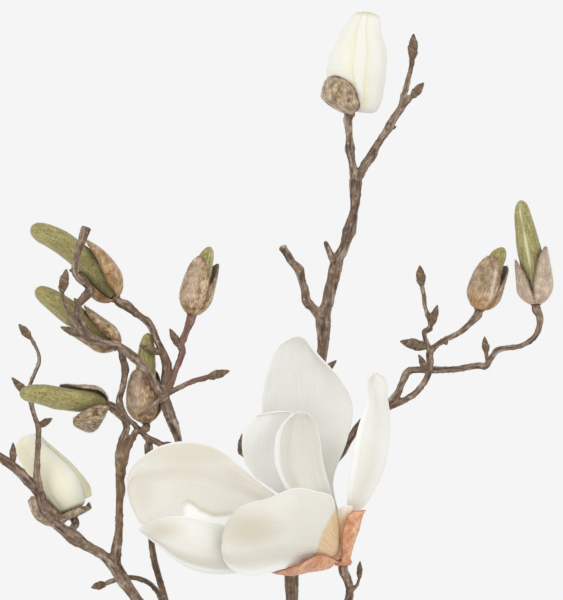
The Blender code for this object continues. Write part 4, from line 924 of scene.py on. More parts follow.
def bark_paint():
    paint = Paint("Bark", 0.6, Specular_IOR_Level=0.45)
    relief = paint.value("relief")
    streak = paint.streaks(7, 0.8, ("run", "side", "other"), 4, 0.62)
    height = paint.plus(paint.times(relief, 0.5), paint.times(streak, 0.62))
    height = paint.plus(height, paint.times(paint.noise(0.7, 4, 0.6), 0.2))
    colour = paint.ramp(
        height,
        (0.38, (42, 30, 24)), (0.5, (74, 56, 45)), (0.61, (108, 87, 71)), (0.73, (143, 124, 107)),
        (0.88, (180, 164, 146)),
    )
    colour = paint.mix(paint.step(paint.noise(9, 3), 0.44, 0.62, 0, 0.4), colour, (111, 86, 62))
    bud = paint.ramp(relief, (0.1, (70, 49, 36)), (0.4, (105, 83, 62)), (0.85, (150, 128, 100)))
    tinted = ("red", 0.5, (120, 77, 70)), ("gold", 0.4, (130, 98, 58)), ("bud", 0.85, bud)
    colour = paint.tints(colour, *tinted)
    # Painted rim highlight where the bark turns away from the eye
    colour = paint.mix(paint.edge(0.45, 0.95, 0.4), colour, (184, 167, 149))
    return paint.finish(colour, paint.bump(height, 0.35, 0.7))


def fur_paint():
    paint = Paint("Furry_bract", 0.82, Specular_IOR_Level=0.25, Sheen_Weight=0.3, Sheen_Roughness=0.5)
    fibre = paint.streaks(2.6, 0.6, ("along", "across", "number"), 4, 0.6, 0.6)
    height = paint.plus(paint.times(fibre, 0.5), paint.times(paint.noise(3.4, 3, 0.6), 0.5))
    colour = paint.ramp(
        height,
        (0.4, (74, 50, 29)), (0.46, (114, 87, 56)), (0.51, (159, 134, 99)), (0.57, (198, 175, 140)),
        (0.64, (231, 215, 192)),
    )
    colour = paint.mix(paint.step(paint.noise(0.6, 3, 0.6), 0.58, 0.7, 0, 0.55), colour, (85, 56, 31))
    shade = paint.value("shade")
    hair = paint.ramp(shade, (0.1, (116, 81, 47)), (0.5, (184, 153, 113)), (0.9, (229, 213, 188)))
    colour = paint.tints(
        colour,
        ("gold", 0.55, (192, 138, 70)), ("pale", 0.5, (233, 214, 198)), ("grey", 0.55, (153, 146, 132)),
        ("rim", 0.8, (101, 70, 43)), ("inner", 0.85, (95, 72, 43)), ("hair", 0.6, hair),
    )
    return paint.finish(colour, paint.bump(height, 0.4, 0.8))


def green_paint():
    paint = Paint("Green_bud", 0.7, Specular_IOR_Level=0.3, Sheen_Weight=0.25, Sheen_Roughness=0.4)
    streak = paint.streaks(6, 0.9, ("along", "side", "other"), 3, 0.6)
    height = paint.plus(paint.times(paint.noise(0.8, 4, 0.68), 0.6), paint.times(streak, 0.4))
    colour = paint.ramp(
        height,
        (0.38, (109, 101, 56)), (0.47, (146, 136, 83)), (0.55, (171, 161, 109)), (0.66, (200, 192, 146)),
    )
    colour = paint.mix(paint.step(paint.noise(5, 3), 0.42, 0.62, 0, 0.4), colour, (138, 130, 81))
    colour = paint.tints(
        colour,
        ("pale", 0.7, (200, 198, 153)), ("dark", 0.7, (89, 80, 45)), ("seam", 1, (215, 210, 173)),
    )
    # Painted rim highlight where the core turns away from the eye
    colour = paint.mix(paint.edge(0.5, 0.98, 0.35), colour, (194, 194, 146))
    return paint.finish(colour, paint.bump(height, 0.3, 0.8))


def petal_paint():
    paint = Paint("Petal", 0.5, Specular_IOR_Level=0.3, Subsurface_Weight=0.2, Subsurface_Scale=0.002)
    paint.shader.inputs["Subsurface Radius"].default_value = (1.0, 0.8, 0.55)
    veins = paint.streaks(11, 0.9, ("along", "across", "number"), 3, 0.6, 0.4)
    colour = paint.ramp(paint.noise(16, 3), (0.3, (229, 228, 222)), (0.7, (236, 235, 231)))
    colour = paint.mix(paint.step(veins, 0.5, 0.74, 0, 0.3), colour, (214, 208, 190))
    claw = paint.mix(paint.step(veins, 0.4, 0.7), (226, 194, 150), (204, 160, 102))
    colour = paint.tints(
        colour,
        ("shade", 1, (202, 194, 174)), ("light", 1, (246, 246, 242)), ("green", 1, (224, 214, 148)),
        ("claw", 1, claw), ("rosy", 1, (200, 140, 104)),
    )
    relief = paint.bump(veins, 0.16, 0.5)
    return paint.finish(colour, paint.bump(paint.noise(0.9, 2), 0.04, 0.5, Normal=relief))


def salmon_paint():
    paint = Paint("Salmon_bract", 0.6, Specular_IOR_Level=0.3, Sheen_Weight=0.2)
    mottle = paint.noise(2.4, 4, 0.6)
    colour = paint.ramp(mottle, (0.3, (190, 122, 84)), (0.5, (218, 160, 122)), (0.7, (236, 196, 160)))
    colour = paint.tints(colour, ("dark", 1, (168, 96, 66)))
    return paint.finish(colour, paint.bump(paint.noise(0.8, 3), 0.2, 0.6))


def heart_paint():
    paint = Paint("Heart", 0.6, Specular_IOR_Level=0.3)
    along = paint.value("along")
    colour = paint.ramp(along, (0.0, (168, 96, 74)), (0.35, (214, 176, 118)), (1.0, (232, 214, 164)))
    colour = paint.tints(colour, ("green", 1, (176, 176, 96)))
    return paint.finish(colour, paint.bump(paint.noise(0.7, 3), 0.15, 0.6))


def glaze_paint():
    paint = Paint("Vase_glaze", 0.3, Specular_IOR_Level=0.5, Coat_Weight=0.35, Coat_Roughness=0.12)
    colour = paint.ramp(paint.noise(28, 4, 0.6), (0.3, (228, 225, 216)), (0.7, (240, 238, 231)))
    colour = paint.mix(paint.step(paint.noise(0.9, 2, 0.5), 0.72, 0.78, 0, 0.45), colour, (150, 132, 108))
    colour = paint.tints(colour, ("bare", 1, (196, 176, 148)))
    roughness = paint.plus(paint.times(paint.value("bare"), 0.5), 0.3)
    return paint.finish(colour, paint.bump(paint.noise(5, 3), 0.12, 0.5), roughness)


def water_paint():
    paint = Paint("Water", 0.03, IOR=1.333, Transmission_Weight=1.0)
    colour = paint.ramp(paint.noise(30, 2), (0.3, (232, 240, 238)), (0.7, (244, 248, 247)))
    return paint.finish(colour, paint.bump(paint.noise(16, 1), 0.25, 0.4))


def floor_paint():
    paint = Paint("Floor", 0.9)
    return paint.finish(paint.ramp(paint.noise(400, 2), (0.3, (236, 236, 235)), (0.7, (240, 240, 239))))


# Pieces

def place(name, heap, paint, slot, node):
    """Makes the piece of a heap, rides it on the body and lets it stand for its CAD node."""
    mesh = heap.mesh(name)
    mesh.materials.append(paint)
    mesh.shade_smooth()
    piece = bpy.data.objects.new(name, mesh)
    bpy.context.scene.collection.objects.link(piece)
    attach(piece, "root")
    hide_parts(node)


def twig(heap, route, seed, sides):
    """One twig: a tapering tube with ridges along it and the scars of old buds round it."""
    line = Line(route, TWIG_STEP)
    angle = circle(sides)
    cosine, sine = np.cos(angle), np.sin(angle)
    run = line.marks[:, None]
    radius = line.radius * (1 + 0.09 * grain((run / 6 + 40 * seed, cosine * 1.2, sine * 1.2), 1, seed, 3))
    draw = random.Random(seed)
    spot = draw.uniform(3, 8)
    while spot < line.marks[-1] - SCAR_FREE:
        tilt = draw.uniform(-0.5, 0.5) * cosine + draw.uniform(-0.5, 0.5) * sine
        radius = radius + draw.uniform(*SCAR_HEIGHTS) * bell(run - spot - tilt, SCAR_WIDTH)
        spot += draw.uniform(*SCAR_GAPS)
    radius[[0, -1]] *= 0.8  # a slightly rounded end
    heap.tube(line.rings(angle, radius))
    return line


def leaf_bud(heap, base, tip, width, seed):
    """A small pointed bud in overlapping scales with pale edges."""
    base, tip = np.array(base), np.array(tip)
    line = Line([(*base + (tip - base) * part, width) for part in (0, 0.5, 1)], 0.35)
    angle = circle(20)
    part = (line.marks / line.marks[-1])[:, None]
    outline = read_table(STALKED_LEAF_BUD if line.marks[-1] > STALKED * width else SQUAT_LEAF_BUD, part)
    lap = (part * SCALE_TURNS + angle / (2 * np.pi) + 0.37 * seed) % 1
    rough = grain((part * 5 + seed, np.cos(angle), np.sin(angle)), 0.6, seed)
    rings = line.rings(angle, width / 2 * outline * (1 + 0.2 * (lap - 0.5) + 0.08 * rough))
    relief = 0.4 + 0.3 * rough + 0.22 * ease(0.7, 0.95, lap) - 0.25 * ease(0.15, 0.0, lap)
    heap.tube(rings, bud=1.0, relief=relief)


def grown_together(name, core):
    """One closed skin round tubes that cross: its points, the directions out of it and its faces."""
    source = bpy.data.objects.new(name, core.mesh(name))
    bpy.context.scene.collection.objects.link(source)
    remesh = source.modifiers.new("Grow together", "REMESH")
    remesh.mode = "VOXEL"
    remesh.voxel_size = VOXEL * MM
    soft = source.modifiers.new("Soften", "SMOOTH")
    soft.factor = 0.5
    soft.iterations = 3
    bpy.context.view_layer.update()
    skin = bpy.data.meshes.new_from_object(source.evaluated_get(bpy.context.evaluated_depsgraph_get()))
    points, normals = np.empty((2, len(skin.vertices) * 3))
    skin.vertices.foreach_get("co", points)
    skin.vertex_normals.foreach_get("vector", normals)
    faces = [tuple(face.vertices) for face in skin.polygons]
    bpy.data.objects.remove(source, do_unlink=True)
    bpy.data.meshes.remove(skin)
    return points.reshape(-1, 3) / MM, normals.reshape(-1, 3), faces


def bark_places(points, lines):
    """How far along its nearest twig each point lies, and how far to its two sides."""
    middles = np.vstack([line.middle for line in lines])
    sides = np.vstack([line.side for line in lines])
    others = np.vstack([line.other for line in lines])
    # Each twig's run starts 70 mm further on than the one before, which shifts its ridges
    runs = np.concatenate([line.marks + 70 * number for number, line in enumerate(lines)])
    tree = kdtree.KDTree(len(middles))
    for number, middle in enumerate(middles):
        tree.insert(middle, number)
    tree.balance()
    near = np.array([tree.find(point)[1] for point in points])
    away = points - middles[near]
    headings = np.cross(sides, others)[near]
    run = runs[near] + np.sum(away * headings, axis=1)
    return run, np.sum(away * sides[near], axis=1), np.sum(away * others[near], axis=1)


def branch(side_name, routes, leaf_buds, seed, paint, **tinted):
    """A whole branch: its twigs grown together, the bark's relief and tinted places, and its leaf buds."""
    core = Heap()
    lines = [twig(core, route, seed + number, 16 if number else 20) for number, route in enumerate(routes)]
    points, normals, faces = grown_together("core", core)
    run, side, other = bark_places(points, lines)
    ridges = grain((run / RIDGE_RUN, side / RIDGE_WIDTH, other / RIDGE_WIDTH), 1, seed + 40)
    rough = grain(points, 1.9, seed + 50, 3)
    warts = ease(0.34, 0.62, grain(points, 1.4, seed + 60, 1))
    points += normals * (RIDGE_HEIGHT * ridges + ROUGH_HEIGHT * rough + WART_HEIGHT * warts)[:, None]
    relief = np.clip(0.44 + 0.5 * ridges + 0.25 * rough + 0.25 * warts, 0, 1)
    tints = {label: np.all((points > low) & (points < high), axis=1) for label, (low, high) in tinted.items()}
    heap = Heap()
    heap.add(points, faces, relief=relief, run=run, side=side, other=other, **tints)
    for number, (base, tip, width) in enumerate(leaf_buds):
        leaf_bud(heap, base, tip, width, seed + number)
    place("wood_" + side_name, heap, paint, "bark", "branch_" + side_name)


def bract_radius(part, widest, tip_radius):
    """The distance of a bract from the bud's axis at a part of its length."""
    rise = np.sin(np.pi / 2 * np.clip(part / BRACT_WIDEST_AT, 0, 1)) ** 0.6
    bend = (part - BRACT_WIDEST_AT) / (1 - BRACT_WIDEST_AT)
    low, high = 2 + (widest - 2) * rise, widest + (tip_radius - widest) * bend * bend
    return np.where(part < BRACT_WIDEST_AT, low, high)


def inside_bracts(distance, radius, bracts, spare):
    """The radius of what a bud's bracts hold, kept clear of each bract that reaches so far."""
    clear = BRACT_THICKNESS / 2 + GAP + spare
    for _, _, length, widest, tip_radius, _ in bracts:
        part = (distance - GAP - 1) / length
        room = bract_radius(part, widest, tip_radius) - clear
        radius = np.where(part <= 1, np.minimum(radius, room), radius)
    return np.maximum(radius, 0.8)


def bract(heap, axis, shape, seed, tint):
    """One furry bract: a scoop with a worn edge, and short silky hairs outside."""
    facing, wrap, length, widest, tip_radius, blunt = shape
    rows, columns = BRACT_GRID
    part = (np.linspace(0, 1, rows) ** 1.15)[:, None]
    side = close_edges(columns)
    narrowing = np.sqrt(np.maximum(0.012, 1 - part**blunt))
    wave = 1 + 0.06 * grain((part * 4, np.sign(side) * 3 + seed, 0), 1, seed)
    radius = bract_radius(part, widest, tip_radius)
    along = part * length
    across = side * np.radians(wrap) * radius
    grid = axis.around(BRACT_FOOT + along, radius, facing + side * wrap * narrowing * wave)
    normal = square_to(grid)
    middle = axis.at(BRACT_FOOT + along.ravel())[0][:, None]
    outward = np.sign(np.mean(np.sum(normal * (grid - middle), axis=-1)))
    lumps = grain(grid, 3.2, seed, 3)
    fibres = grain((along / 4.5, across / 0.8, seed), 1, seed)
    grid = grid + normal * outward * (0.24 * lumps + 0.2 * fibres)[..., None]
    inset = np.minimum((1 - np.abs(side)) * narrowing * 1.2, 1.6 * (1 - part))
    pale = tint["pale"] + 0.4 * lumps + tint["edge"] * bell(inset - 0.13, 0.07)
    pale = np.clip(pale + tint["middle"] * bell(side - 0.1, 0.42) * ease(0, 0.3, part), 0, 1)
    # A narrow pale streak along the bract is a painted highlight of its gloss
    streak = tint["streak"] * bell(side - 0.6, 0.09) * ease(0.05, 0.3, part) * ease(0.95, 0.7, part)
    outer, normal = heap.leaf(
        grid, BRACT_THICKNESS * (0.4 + 0.6 * ease(0, 0.16, inset)), flip=outward < 0,
        pale=pale + streak, gold=np.maximum(tint["warm"], tint["gold"] * ease(0.6, 0.05, part)),
        grey=np.clip(tint["grey"] + 0.5 * lumps, 0, 1) * ease(0.1, 0.5, part),
        rim=tint["rim"] * ease(0.13, 0.02, inset), along=along, across=across, number=seed,
    )
    area = length * np.radians(2 * wrap) * widest
    tips = {label: 0.3 * tint[label] for label in ("pale", "gold")}
    heap.hairs(outer, normal, int(area * HAIRS_PER_AREA), HAIR_LENGTH, seed, **tips)


def scoop_bract(heap, rows, seed):
    """A furry bract that lies open under its bud, through rows of edge, middle and edge."""
    grid, part, side = tepal_grid(rows, *SCOOP_GRID)
    lumps = grain(grid, 3.2, seed, 3)
    fibres = grain((part * 5, side * 9, seed), 1, seed)
    grid = (grid + square_to(grid) * (0.25 * lumps + 0.15 * fibres)[..., None])[:, ::-1]
    inset = np.minimum(1 - np.abs(side), 1.6 * (1 - part))
    outer, normal = heap.leaf(
        grid, BRACT_THICKNESS * (0.5 + 0.5 * ease(0, 0.2, inset)), rim=ease(0.1, 0.02, inset),
        pale=np.clip(0.35 + 0.5 * lumps, 0, 1), along=part * 20, across=side * 10, number=seed,
    )
    heap.hairs(outer, normal, SCOOP_HAIRS, SCOOP_HAIR_LENGTH, seed + 9, pale=0.3)


def bract_set(name, node, axis, bracts, paint, seed, tints, scoop=None):
    """The bracts of one bud with the short knob that they grow from."""
    heap = Heap()
    line = Line([(*axis.at(GAP + part)[0][0], wide) for part, wide in KNOB_WIDTHS], 0.3)
    angle = circle(20)
    rough = grain((line.marks[:, None], 3 * np.cos(angle), 3 * np.sin(angle)), 1.2, seed)
    heap.tube(line.rings(angle, line.radius * (1 + 0.06 * rough)), rim=0.6)
    for number, shape in enumerate(bracts):
        bract(heap, axis, shape, seed + number, {**PLAIN_TINTS, **tints})
    if scoop:
        scoop_bract(heap, scoop, seed)
    place(name, heap, paint, "fur_bract", node)


def bud_core(name, axis, widths, bracts, paint, seed, crease, seam, lying):
    """The green core of a scale bud: a blunt finger with a pale crease and a velvet grain."""
    rows, columns = CORE_GRID
    rise = 1 - (1 - np.linspace(0, 1, rows)) ** 1.3
    distance = CORE_START + (axis.length - CORE_START) * rise
    radius = smooth(inside_bracts(distance, read_table(widths, distance / axis.length), bracts, CORE_ROOM), 4)
    tip = axis.length - distance
    closing = (CORE_TIP - np.minimum(tip, CORE_TIP)) / CORE_TIP_BLUNT
    radius = (radius * np.sqrt(np.clip(1 - closing**2, 0.02, 1)))[:, None]
    distance, rise, tip = distance[:, None], rise[:, None], tip[:, None]
    turn = circle(columns, 360)
    away = turn * np.pi / 180
    off = (turn - (crease + 12 * np.sin(rise * 3)) + 180) % 360 - 180
    groove = bell(off, 9) * (ease(0, 0.1, rise) * ease(1, 0.8, rise))
    lips = bell(np.abs(off) - 17, 8) * ease(0.02, 0.12, rise)
    rings = axis.around(distance, radius, turn)
    fine, dents = grain(rings, 1.3, seed, 3), grain(rings, 5, seed + 9)
    reach = radius * (1 + 0.025 * lips - 0.07 * groove + 0.035 * dents) + 0.12 * fine * ease(0, 3, tip)
    thread = seam * bell(off - 2.5 * np.sign(off), 2.2)
    # On lying buds, painted light from below on the underside, and a darker upper side
    under = np.clip(np.cos(np.radians(turn + 90)), 0, 1) ** 2 * lying
    above = np.clip(np.cos(np.radians(turn - 90)), 0, 1) ** 4 * lying
    # Painted shade at the core's foot, inside the bracts, and in its crease (the dark value)
    heap = Heap()
    heap.tube(
        axis.around(distance, reach, turn), seam=np.clip(thread, 0, 1), along=distance,
        pale=np.clip((0.7 - 0.5 * seam) * lips + 0.12 * fine + 0.55 * under + thread, 0, 1),
        dark=np.clip(ease(0.32, 0.05, rise) * 0.8 + (0.5 - 0.4 * seam) * groove + 0.45 * above, 0, 1),
        side=radius * np.cos(away), other=radius * np.sin(away),
    )
    place(name, heap, paint, "green_bud", name)


def white_bud(name, axis, widths, bracts, paint, seed, shape):
    """A closed bud: tepals wrapped tight, with a fold at each free edge."""
    span = axis.length - WHITE_BUD_START
    rows, columns = WHITE_BUD_GRID
    rise = 1 - (1 - np.linspace(0, 1, rows)) ** 1.35
    distance = WHITE_BUD_START + span * rise
    part = ((distance - WHITE_BUD_START) / span)[:, None]
    left = smooth(read_table(shape.get("left", widths), distance / axis.length), 6)
    right = smooth(read_table(shape.get("right", widths), distance / axis.length), 6)
    base = smooth(inside_bracts(distance, (left + right) / 2, bracts, WHITE_BUD_ROOM), 4)
    aside = unit(axis.around(distance, 1, 90.0) - axis.at(distance)[0]) * ((right - left) / 2)[:, None]
    close = np.clip(distance - axis.length + shape["crown"], 0, None) / shape["crown"]
    crown = np.sqrt(np.clip(1 - close**2, 0.02, 1))
    foot = np.sqrt(np.clip(1 - (np.clip(3 - (distance - WHITE_BUD_START), 0, None) / 3.1) ** 2, 0.05, 1))
    turn = circle(columns, 360)
    dip, tint = np.zeros((2, rows, columns))
    for angles, depth, width, yellow in shape["folds"]:
        off = (turn - np.interp(part, (0, 0.5, 1), angles) + 180) % 360 - 180
        step = ease(-1.5 * np.sign(width), 1.5 * np.sign(width), off) * np.exp(-np.clip(off / width, 0, None))
        fade = ease(0, 0.12, part)
        dip = dip + depth * step * fade
        tint = np.maximum(tint, yellow * step * fade * (1 - 0.35 * part))
    wave = grain((part * 2.6, turn / 26, seed), 1, seed)
    radius = (base * crown * foot)[:, None] * (1 + 0.015 * wave) - dip * crown[:, None]
    rings = axis.around(distance[:, None], np.maximum(radius, 0.3), turn) + aside[:, None]
    cream = shape["cream"] * (0.6 + 0.4 * np.cos(np.radians(turn + 60)))
    shade = np.maximum(0.12 * ease(0.3, 0, part), shape["cap"] * ease(0.93, 1, part))
    heap = Heap()
    heap.tube(
        rings, green=np.maximum(tint, cream), shade=shade, light=shape["light"] * (1 - shade),
        along=distance[:, None], across=turn * 0.2, number=np.floor(turn / 120),
    )
    if "strip" in shape:
        low_angle, high_angle, yellow = shape["strip"]
        up, side = np.linspace(0, 1, STRIP_GRID[0])[:, None], np.linspace(0, 1, STRIP_GRID[1])
        at = 7 + (axis.length - 8.5) * up
        reach = np.interp(at, distance, base * crown) + 0.35 + 3.0 * ease(0.34, 0.0, up) * side + 0.2 * side
        angle = low_angle + (high_angle - low_angle) * (side * (0.25 + 0.75 * ease(0, 0.16, up)))
        grid = axis.around(at, reach, angle + 10 * ease(0.16, 0, up))
        heap.leaf(grid, 0.5, along=at, across=side * 5, number=seed + 3, green=yellow * (0.65 + 0.35 * side))
    place(name, heap, paint, "white_bud", name)


def tepal_grid(rows, along, across):
    """A fine grid through rows of edge, middle and edge, closer together at its edges."""
    table = np.array(rows, float)
    rise = np.linspace(0, 1, along + 1)
    rise = 0.75 * rise + 0.25 * np.sin(np.pi / 2 * rise)
    side = close_edges(across + 1)
    weights = (side * (side - 1) / 2, 1 - side * side, side * (side + 1) / 2)
    lines = [blend(table[:, number], rise)[:, None] for number in range(3)]
    grid = sum(line * weight[:, None] for line, weight in zip(lines, weights))
    return grid, *np.broadcast_arrays(rise[:, None], side)


def tepal(heap, number, name, rows):
    """One tepal of the open bloom: softly waved and veined, with a rolled rim, and painted light and shade.
    """
    grid, along, across = tepal_grid(rows, *TEPAL_GRID)
    x, z = grid[..., 0], grid[..., 2]
    normal = square_to(grid)
    forward = np.sign(-np.mean(normal[..., 1]))
    wave = grain((along * 3, across * 1.6, number * 5), 1, 11 + number) * ease(0.1, 0.4, along)
    vein = grain((along * 2.2, across * 15, number), 1, 3 + number)
    edge = np.minimum((1 - np.abs(across)) * 3, (1 - along) * 6)
    rim_side, rim_at, rim_deep, painted_shade_below_rim, painted_rim_light = TEPAL_FORMS[name]
    rolled = across * rim_side
    band = bell(rolled - rim_at, 0.1) * ease(0.2, 0.4, along)
    lift = 0.5 * wave + 0.1 * vein * ease(0, 0.5, edge) - rim_deep * band
    # Painted shade in the hollow below the rolled rim, and a painted highlight on the rim and along the edges
    shade = painted_shade_below_rim * bell(rolled - rim_at + 0.22, 0.28) * ease(0.12, 0.35, along)
    light = painted_rim_light * ease(rim_at + 0.02, rim_at + 0.14, rolled) * ease(0.1, 0.3, along)
    light = np.maximum(light, 0.6 * ease(0.14, 0.05, edge))
    # Soft spots of painted light and painted shade
    for middle_x, middle_z, reach_x, reach_z, amount in TEPAL_PAINTED_LIGHT_AND_SHADE.get(name, ()):
        spot = abs(amount) * np.exp(-(((x - middle_x) / reach_x) ** 2) - ((z - middle_z) / reach_z) ** 2)
        light, shade = (np.maximum(light, spot), shade) if amount > 0 else (light, np.maximum(shade, spot))
    if name == "left_upper":
        below = read_table(FOLD_LINE, x) - z
        step = ease(0, 0.6, below) * ease(-34, -31, x) * ease(-4, -14, x)
        lift = lift - FOLD_DEPTH * step * ease(14, 4, below)
        # Painted highlight on the band below the fold and a painted shadow line along it
        light = np.maximum(light * (1 - step), 0.9 * step)
        shade = shade * (1 - step) + 0.5 * bell(below, 1.2) * ease(-34, -31, x) * ease(-4, -14, x)
    grid = grid + normal * forward * lift[..., None]
    claw = ease(0.26, 0.04, along) * 0.85
    if name == "front":
        past = grid[..., 0] - read_table(FRONT_CLAW, grid[..., 2])
        claw = 0.85 * ease(-0.4, 0.5, past)
        # A thin line of painted shade where the front tepal's white meets its claw
        shade = np.maximum(shade, 0.6 * bell(past, 0.6) * (grid[..., 2] < 306))
    # Painted shade deepens towards the claw
    heap.leaf(
        grid, TEPAL_THICKNESS * (0.3 + 0.7 * ease(0, 0.5, edge)), along=along * 60, across=across * 22,
        number=number, claw=claw, rosy=ease(0.12, 0.0, along) * 0.6,
        shade=np.clip(shade + 0.15 * ease(0.5, 0.1, along), 0, 1), light=light * (1 - claw),
    )


def bloom(paint):
    """The open bloom's tepals, on the short base that holds them."""
    heap = Heap()
    line = Line(BLOOM_BASE, 0.5)
    angle = circle(32)
    heap.tube(line.rings(angle, line.radius), claw=0.8, along=0.0, across=angle / 6)
    for number, (name, rows) in enumerate(TEPALS.items()):
        tepal(heap, number, name, rows)
    grid, along, across = tepal_grid(CLAW_FAN, *CLAW_FAN_GRID)
    heap.leaf(grid, 0.8, along=along * 30, across=across * 8, claw=0.9, rosy=0.3 * ease(0.3, 0, along))
    grid, along, across = tepal_grid(CLAW_SIDE, *CLAW_SIDE_GRID)
    heap.leaf(
        grid, 0.7, along=along * 30, across=across * 5, claw=0.85 * ease(1.2, 0.5, along),
        rosy=0.15 * ease(0.3, 0, along), light=0.6 * ease(0.4, 1, along),
    )
    place("bloom_tepals_fine", heap, paint, "petal", "bloom_tepals")


def bloom_bracts(paint):
    """The two salmon bracts under the bloom, on the knob that carries it."""
    heap = Heap()
    line = Line(BLOOM_KNOB, 0.3)
    heap.tube(line.rings(circle(28), line.radius), dark=0.4)
    for number, rows in enumerate((BLOOM_BRACT_LOW, BLOOM_BRACT_RIGHT)):
        grid, along, across = tepal_grid(rows, *SALMON_GRID)
        lumps = grain(grid, 5, 31 + number, 3)
        grid = grid + square_to(grid) * (0.35 * lumps * ease(0.05, 0.3, along))[..., None]
        edge = np.minimum((1 - np.abs(across)) * 3, (1 - along) * 5)
        dark = np.clip(0.8 * ease(0.35, 0, edge) + 0.15 + 0.6 * lumps, 0, 1)
        heap.leaf(grid, BRACT_THICKNESS * (0.4 + 0.6 * ease(0, 0.5, edge)), dark=dark)
    place("bloom_bracts_fine", heap, paint, "salmon_bract", "bloom_bracts")


def bloom_heart(paint):
    """Stamens round the foot of a cone, and curled carpels above them."""
    heap = Heap()
    up = np.array(HEART_AXIS)
    foot = np.array(HEART_FOOT) + up * GAP
    side = np.array(HEART_AXIS.orthogonal().normalized())
    other = np.cross(up, side)
    rise = np.linspace(0, 1, 24)[:, None]
    angle = circle(24)
    radius = np.interp(rise, (0, 0.3, 0.7, 1), (0.9, 1, 0.8, 0.3)) * HEART_RADIUS
    radius = radius * (1 + 0.08 * np.cos(5 * angle + 14 * rise))
    out = side * np.cos(angle)[:, None] + other * np.sin(angle)[:, None]
    heap.tube((foot + up * HEART_LENGTH * rise)[:, None] + out * radius[..., None], green=0.6, along=0.5)
    angle = circle(10)
    for number in range(STAMENS + CARPELS):
        if number < STAMENS:
            height = 1.2 + 6.5 * number / STAMENS
            reach, climb, wide, green = STAMEN_FORM
        else:
            height = 9 + 5 * (number - STAMENS) / CARPELS
            reach, climb, wide, green = CARPEL_FORM
        turn = number * math.radians(GOLDEN_ANGLE)
        out = side * math.cos(turn) + other * math.sin(turn)
        root = foot + up * height + out
        tip = root + out * reach + up * climb
        bend = (root + tip) / 2 + out * 0.5
        line = Line([(*spot, width) for spot, width in zip((root, bend, tip), wide)], 0.6)
        rings = line.rings(angle, line.radius, 0.7)
        heap.tube(rings, along=(line.marks / line.marks[-1])[:, None], green=green)
    place("bloom_heart_fine", heap, paint, "heart", "bloom_heart")


def wall_radius(height):
    """The vase's outer radius at a height, on a smooth line through its driving sizes."""
    heights = np.array([spot[0] for spot in VASE_OUTSIDE], float)
    index = np.clip(np.searchsorted(heights, height) - 1, 0, len(heights) - 2)
    part = (height - heights[index]) / (heights[index + 1] - heights[index])
    return blend([(radius,) for _, radius in VASE_OUTSIDE], (index + part) / (len(heights) - 1))[:, 0]


def vase(paint):
    """The vase, turned with faint throwing rings, a rounded lip and a bare foot."""
    down = np.linspace(VASE_HEIGHT - 3, 3, 150)
    up = down[::-1][down[::-1] > VASE_FLOOR + 2]
    outer = wall_radius(down) + (0.12 * np.sin(down / 3.1) + 0.08 * np.sin(down / 1.3 + 2))
    inner = wall_radius(up) - VASE_WALL + 0.1 * np.sin(up / 3.4)
    lip = wall_radius(np.array([float(VASE_HEIGHT)]))[0] - VASE_WALL / 2
    lip_top = VASE_HEIGHT - LIP_RADIUS
    half_turn = np.linspace(math.pi, 0, 12)
    profile = np.array([
        (inner[0] * 0.5, VASE_FLOOR), (inner[0] - 2.5, VASE_FLOOR), (inner[0] - 0.8, VASE_FLOOR + 0.8),
        *zip(inner, up),
        *zip(lip + np.cos(half_turn) * LIP_RADIUS, lip_top + np.sin(half_turn) * LIP_RADIUS),
        *zip(outer, down),
        (VASE_FOOT_RADIUS + 0.9, 0.6), (VASE_FOOT_RADIUS, 0),
        (VASE_FOOT_RADIUS - 3, 0), (VASE_FOOT_RADIUS - 4, 0),
    ])
    angle = circle(VASE_SIDES)
    radius, height = profile[:, :1], profile[:, 1:]
    heap = Heap()
    rings = np.stack([radius * np.cos(angle), radius * np.sin(angle), height + 0 * angle], axis=-1)
    heap.tube(rings, bare=height < BARE_FOOT)
    place("vase_glazed", heap, paint, "vase", "vase")


def studio():
    """A pale floor, soft light from all round and a camera square to the photograph's plane."""
    scene = bpy.context.scene
    camera = bpy.data.objects.new("Camera", bpy.data.cameras.new("Camera"))
    camera.data.lens = camera.data.sensor_width * CAMERA_DISTANCE / PICTURE_HEIGHT
    camera.data.clip_end = 100
    camera.location = Vector((PICTURE_MIDDLE[0], -CAMERA_DISTANCE, PICTURE_MIDDLE[1])) * MM
    camera.rotation_euler = (math.radians(90), 0, 0)
    scene.collection.objects.link(camera)
    scene.camera = camera

    work = bmesh.new()
    bmesh.ops.create_circle(work, cap_ends=True, segments=96, radius=FLOOR_RADIUS)
    mesh = bpy.data.meshes.new("floor")
    work.to_mesh(mesh)
    work.free()
    mesh.materials.append(floor_paint())
    floor = bpy.data.objects.new("floor", mesh)
    floor.location.z = -FLOOR_DROP
    scene.collection.objects.link(floor)

    for name, (spot, size, power) in LIGHTS.items():
        light = bpy.data.lights.new(name, "AREA")
        light.shape = "DISK"
        light.size = size
        light.energy = power
        lamp = bpy.data.objects.new(name, light)
        lamp.location = spot
        lamp.rotation_euler = (Vector(LIT_SPOT) - Vector(spot)).to_track_quat("-Z", "Y").to_euler()
        scene.collection.objects.link(lamp)

    scene.world = bpy.data.worlds.new("Studio")
    scene.world.use_nodes = True
    scene.world.node_tree.nodes["Background"].inputs["Color"].default_value = tone(*SKY)
    scene.view_settings.view_transform = "Standard"
    scene.view_settings.look = "None"


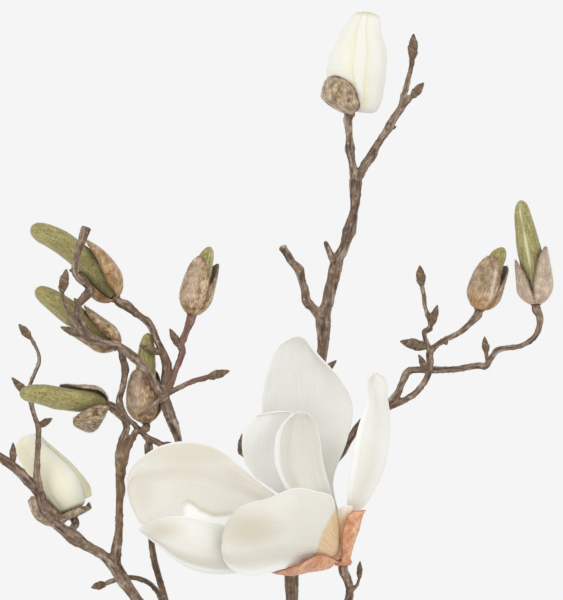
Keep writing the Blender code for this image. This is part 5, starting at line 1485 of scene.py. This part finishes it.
def main():
    studio()
    ends = {name: bud[0] for name, bud in {**SCALE_BUDS, **WHITE_BUDS}.items()}
    bloom_end = [BLOOM_STEM[-1][:3], BLOOM_BASE[0][:3]]
    left_routes = [
        LEFT_TRUNK, seated(LEFT_UPRIGHT, ends["b"]), seated(LEFT_FORK, ends["g"]),
        seated(LEFT_BUD_C_STEM, ends["c"]), seated(LEFT_BUD_H_STEM, ends["left"]),
        LEFT_CROSS_TWIG, LEFT_STUB, LEFT_THIN_TWIG,
    ]
    cluster_routes = [
        CLUSTER_STEM, seated(BUD_A_STEM, ends["a"]), seated(BUD_D_STEM, ends["d"]),
        CLUSTER_TWIG_LONG, CLUSTER_TWIG_THIN, CLUSTER_SHORT_TWIG, CLUSTER_FINE_TWIG, CLUSTER_LOW_TWIG,
    ]
    right_routes = [
        seated(RIGHT_TRUNK, ends["top"]), seated(RIGHT_SIDE_BRANCH, ends["k"]),
        seated(RIGHT_LOW_TWIG, ends["j"]), seated(BLOOM_STEM, bloom_end),
        RIGHT_LEFT_FORK, RIGHT_SPUR, RIGHT_LOW_SPUR, RIGHT_HIDDEN_TWIG, RIGHT_TOP_TWIG, RIGHT_TOP_SIDE,
        RIGHT_ZIGZAG_TWIG, BLOOM_STEM_TWIG,
    ]
    # The numbers 100 to 700 seed the random draws of the pieces
    bark, fur, green, petal = bark_paint(), fur_paint(), green_paint(), petal_paint()
    branch("left", left_routes, LEFT_LEAF_BUDS, 100, bark, gold=((-70, -20, 288), (-58, 10, 340)))
    branch("cluster", cluster_routes, CLUSTER_LEAF_BUDS, 200, bark, red=((-42, -5, 366), (-10, 10, 402)))
    branch("right", right_routes, RIGHT_LEAF_BUDS, 300, bark)
    for number, (letter, (route, widths, bracts)) in enumerate(SCALE_BUDS.items()):
        axis = Axis(route)
        tints = BRACT_TINTS[letter]
        bract_set(f"bracts_{letter}", f"bud_{letter}_bracts", axis, bracts, fur, 400 + 10 * number, tints)
        lying = letter in LYING_BUDS
        bud_core(f"bud_{letter}_core", axis, widths, bracts, green, 500 + number, *CREASES[letter], lying)
    for side, (route, widths, bracts) in WHITE_BUDS.items():
        axis = Axis(route)
        scoop = LEFT_SCOOP if side == "left" else None
        name = f"white_bud_{side}"
        bract_set(f"round_bract_{side}", name + "_bract", axis, bracts, fur, 600, BRACT_TINTS[side], scoop)
        white_bud(name, axis, widths, bracts, petal, 700, BUD_FORMS[side])
    bloom(petal)
    bloom_bracts(salmon_paint())
    bloom_heart(heart_paint())
    vase(glaze_paint())
    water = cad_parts["water"]
    water.data.materials.clear()
    water.data.materials.append(water_paint())


main()
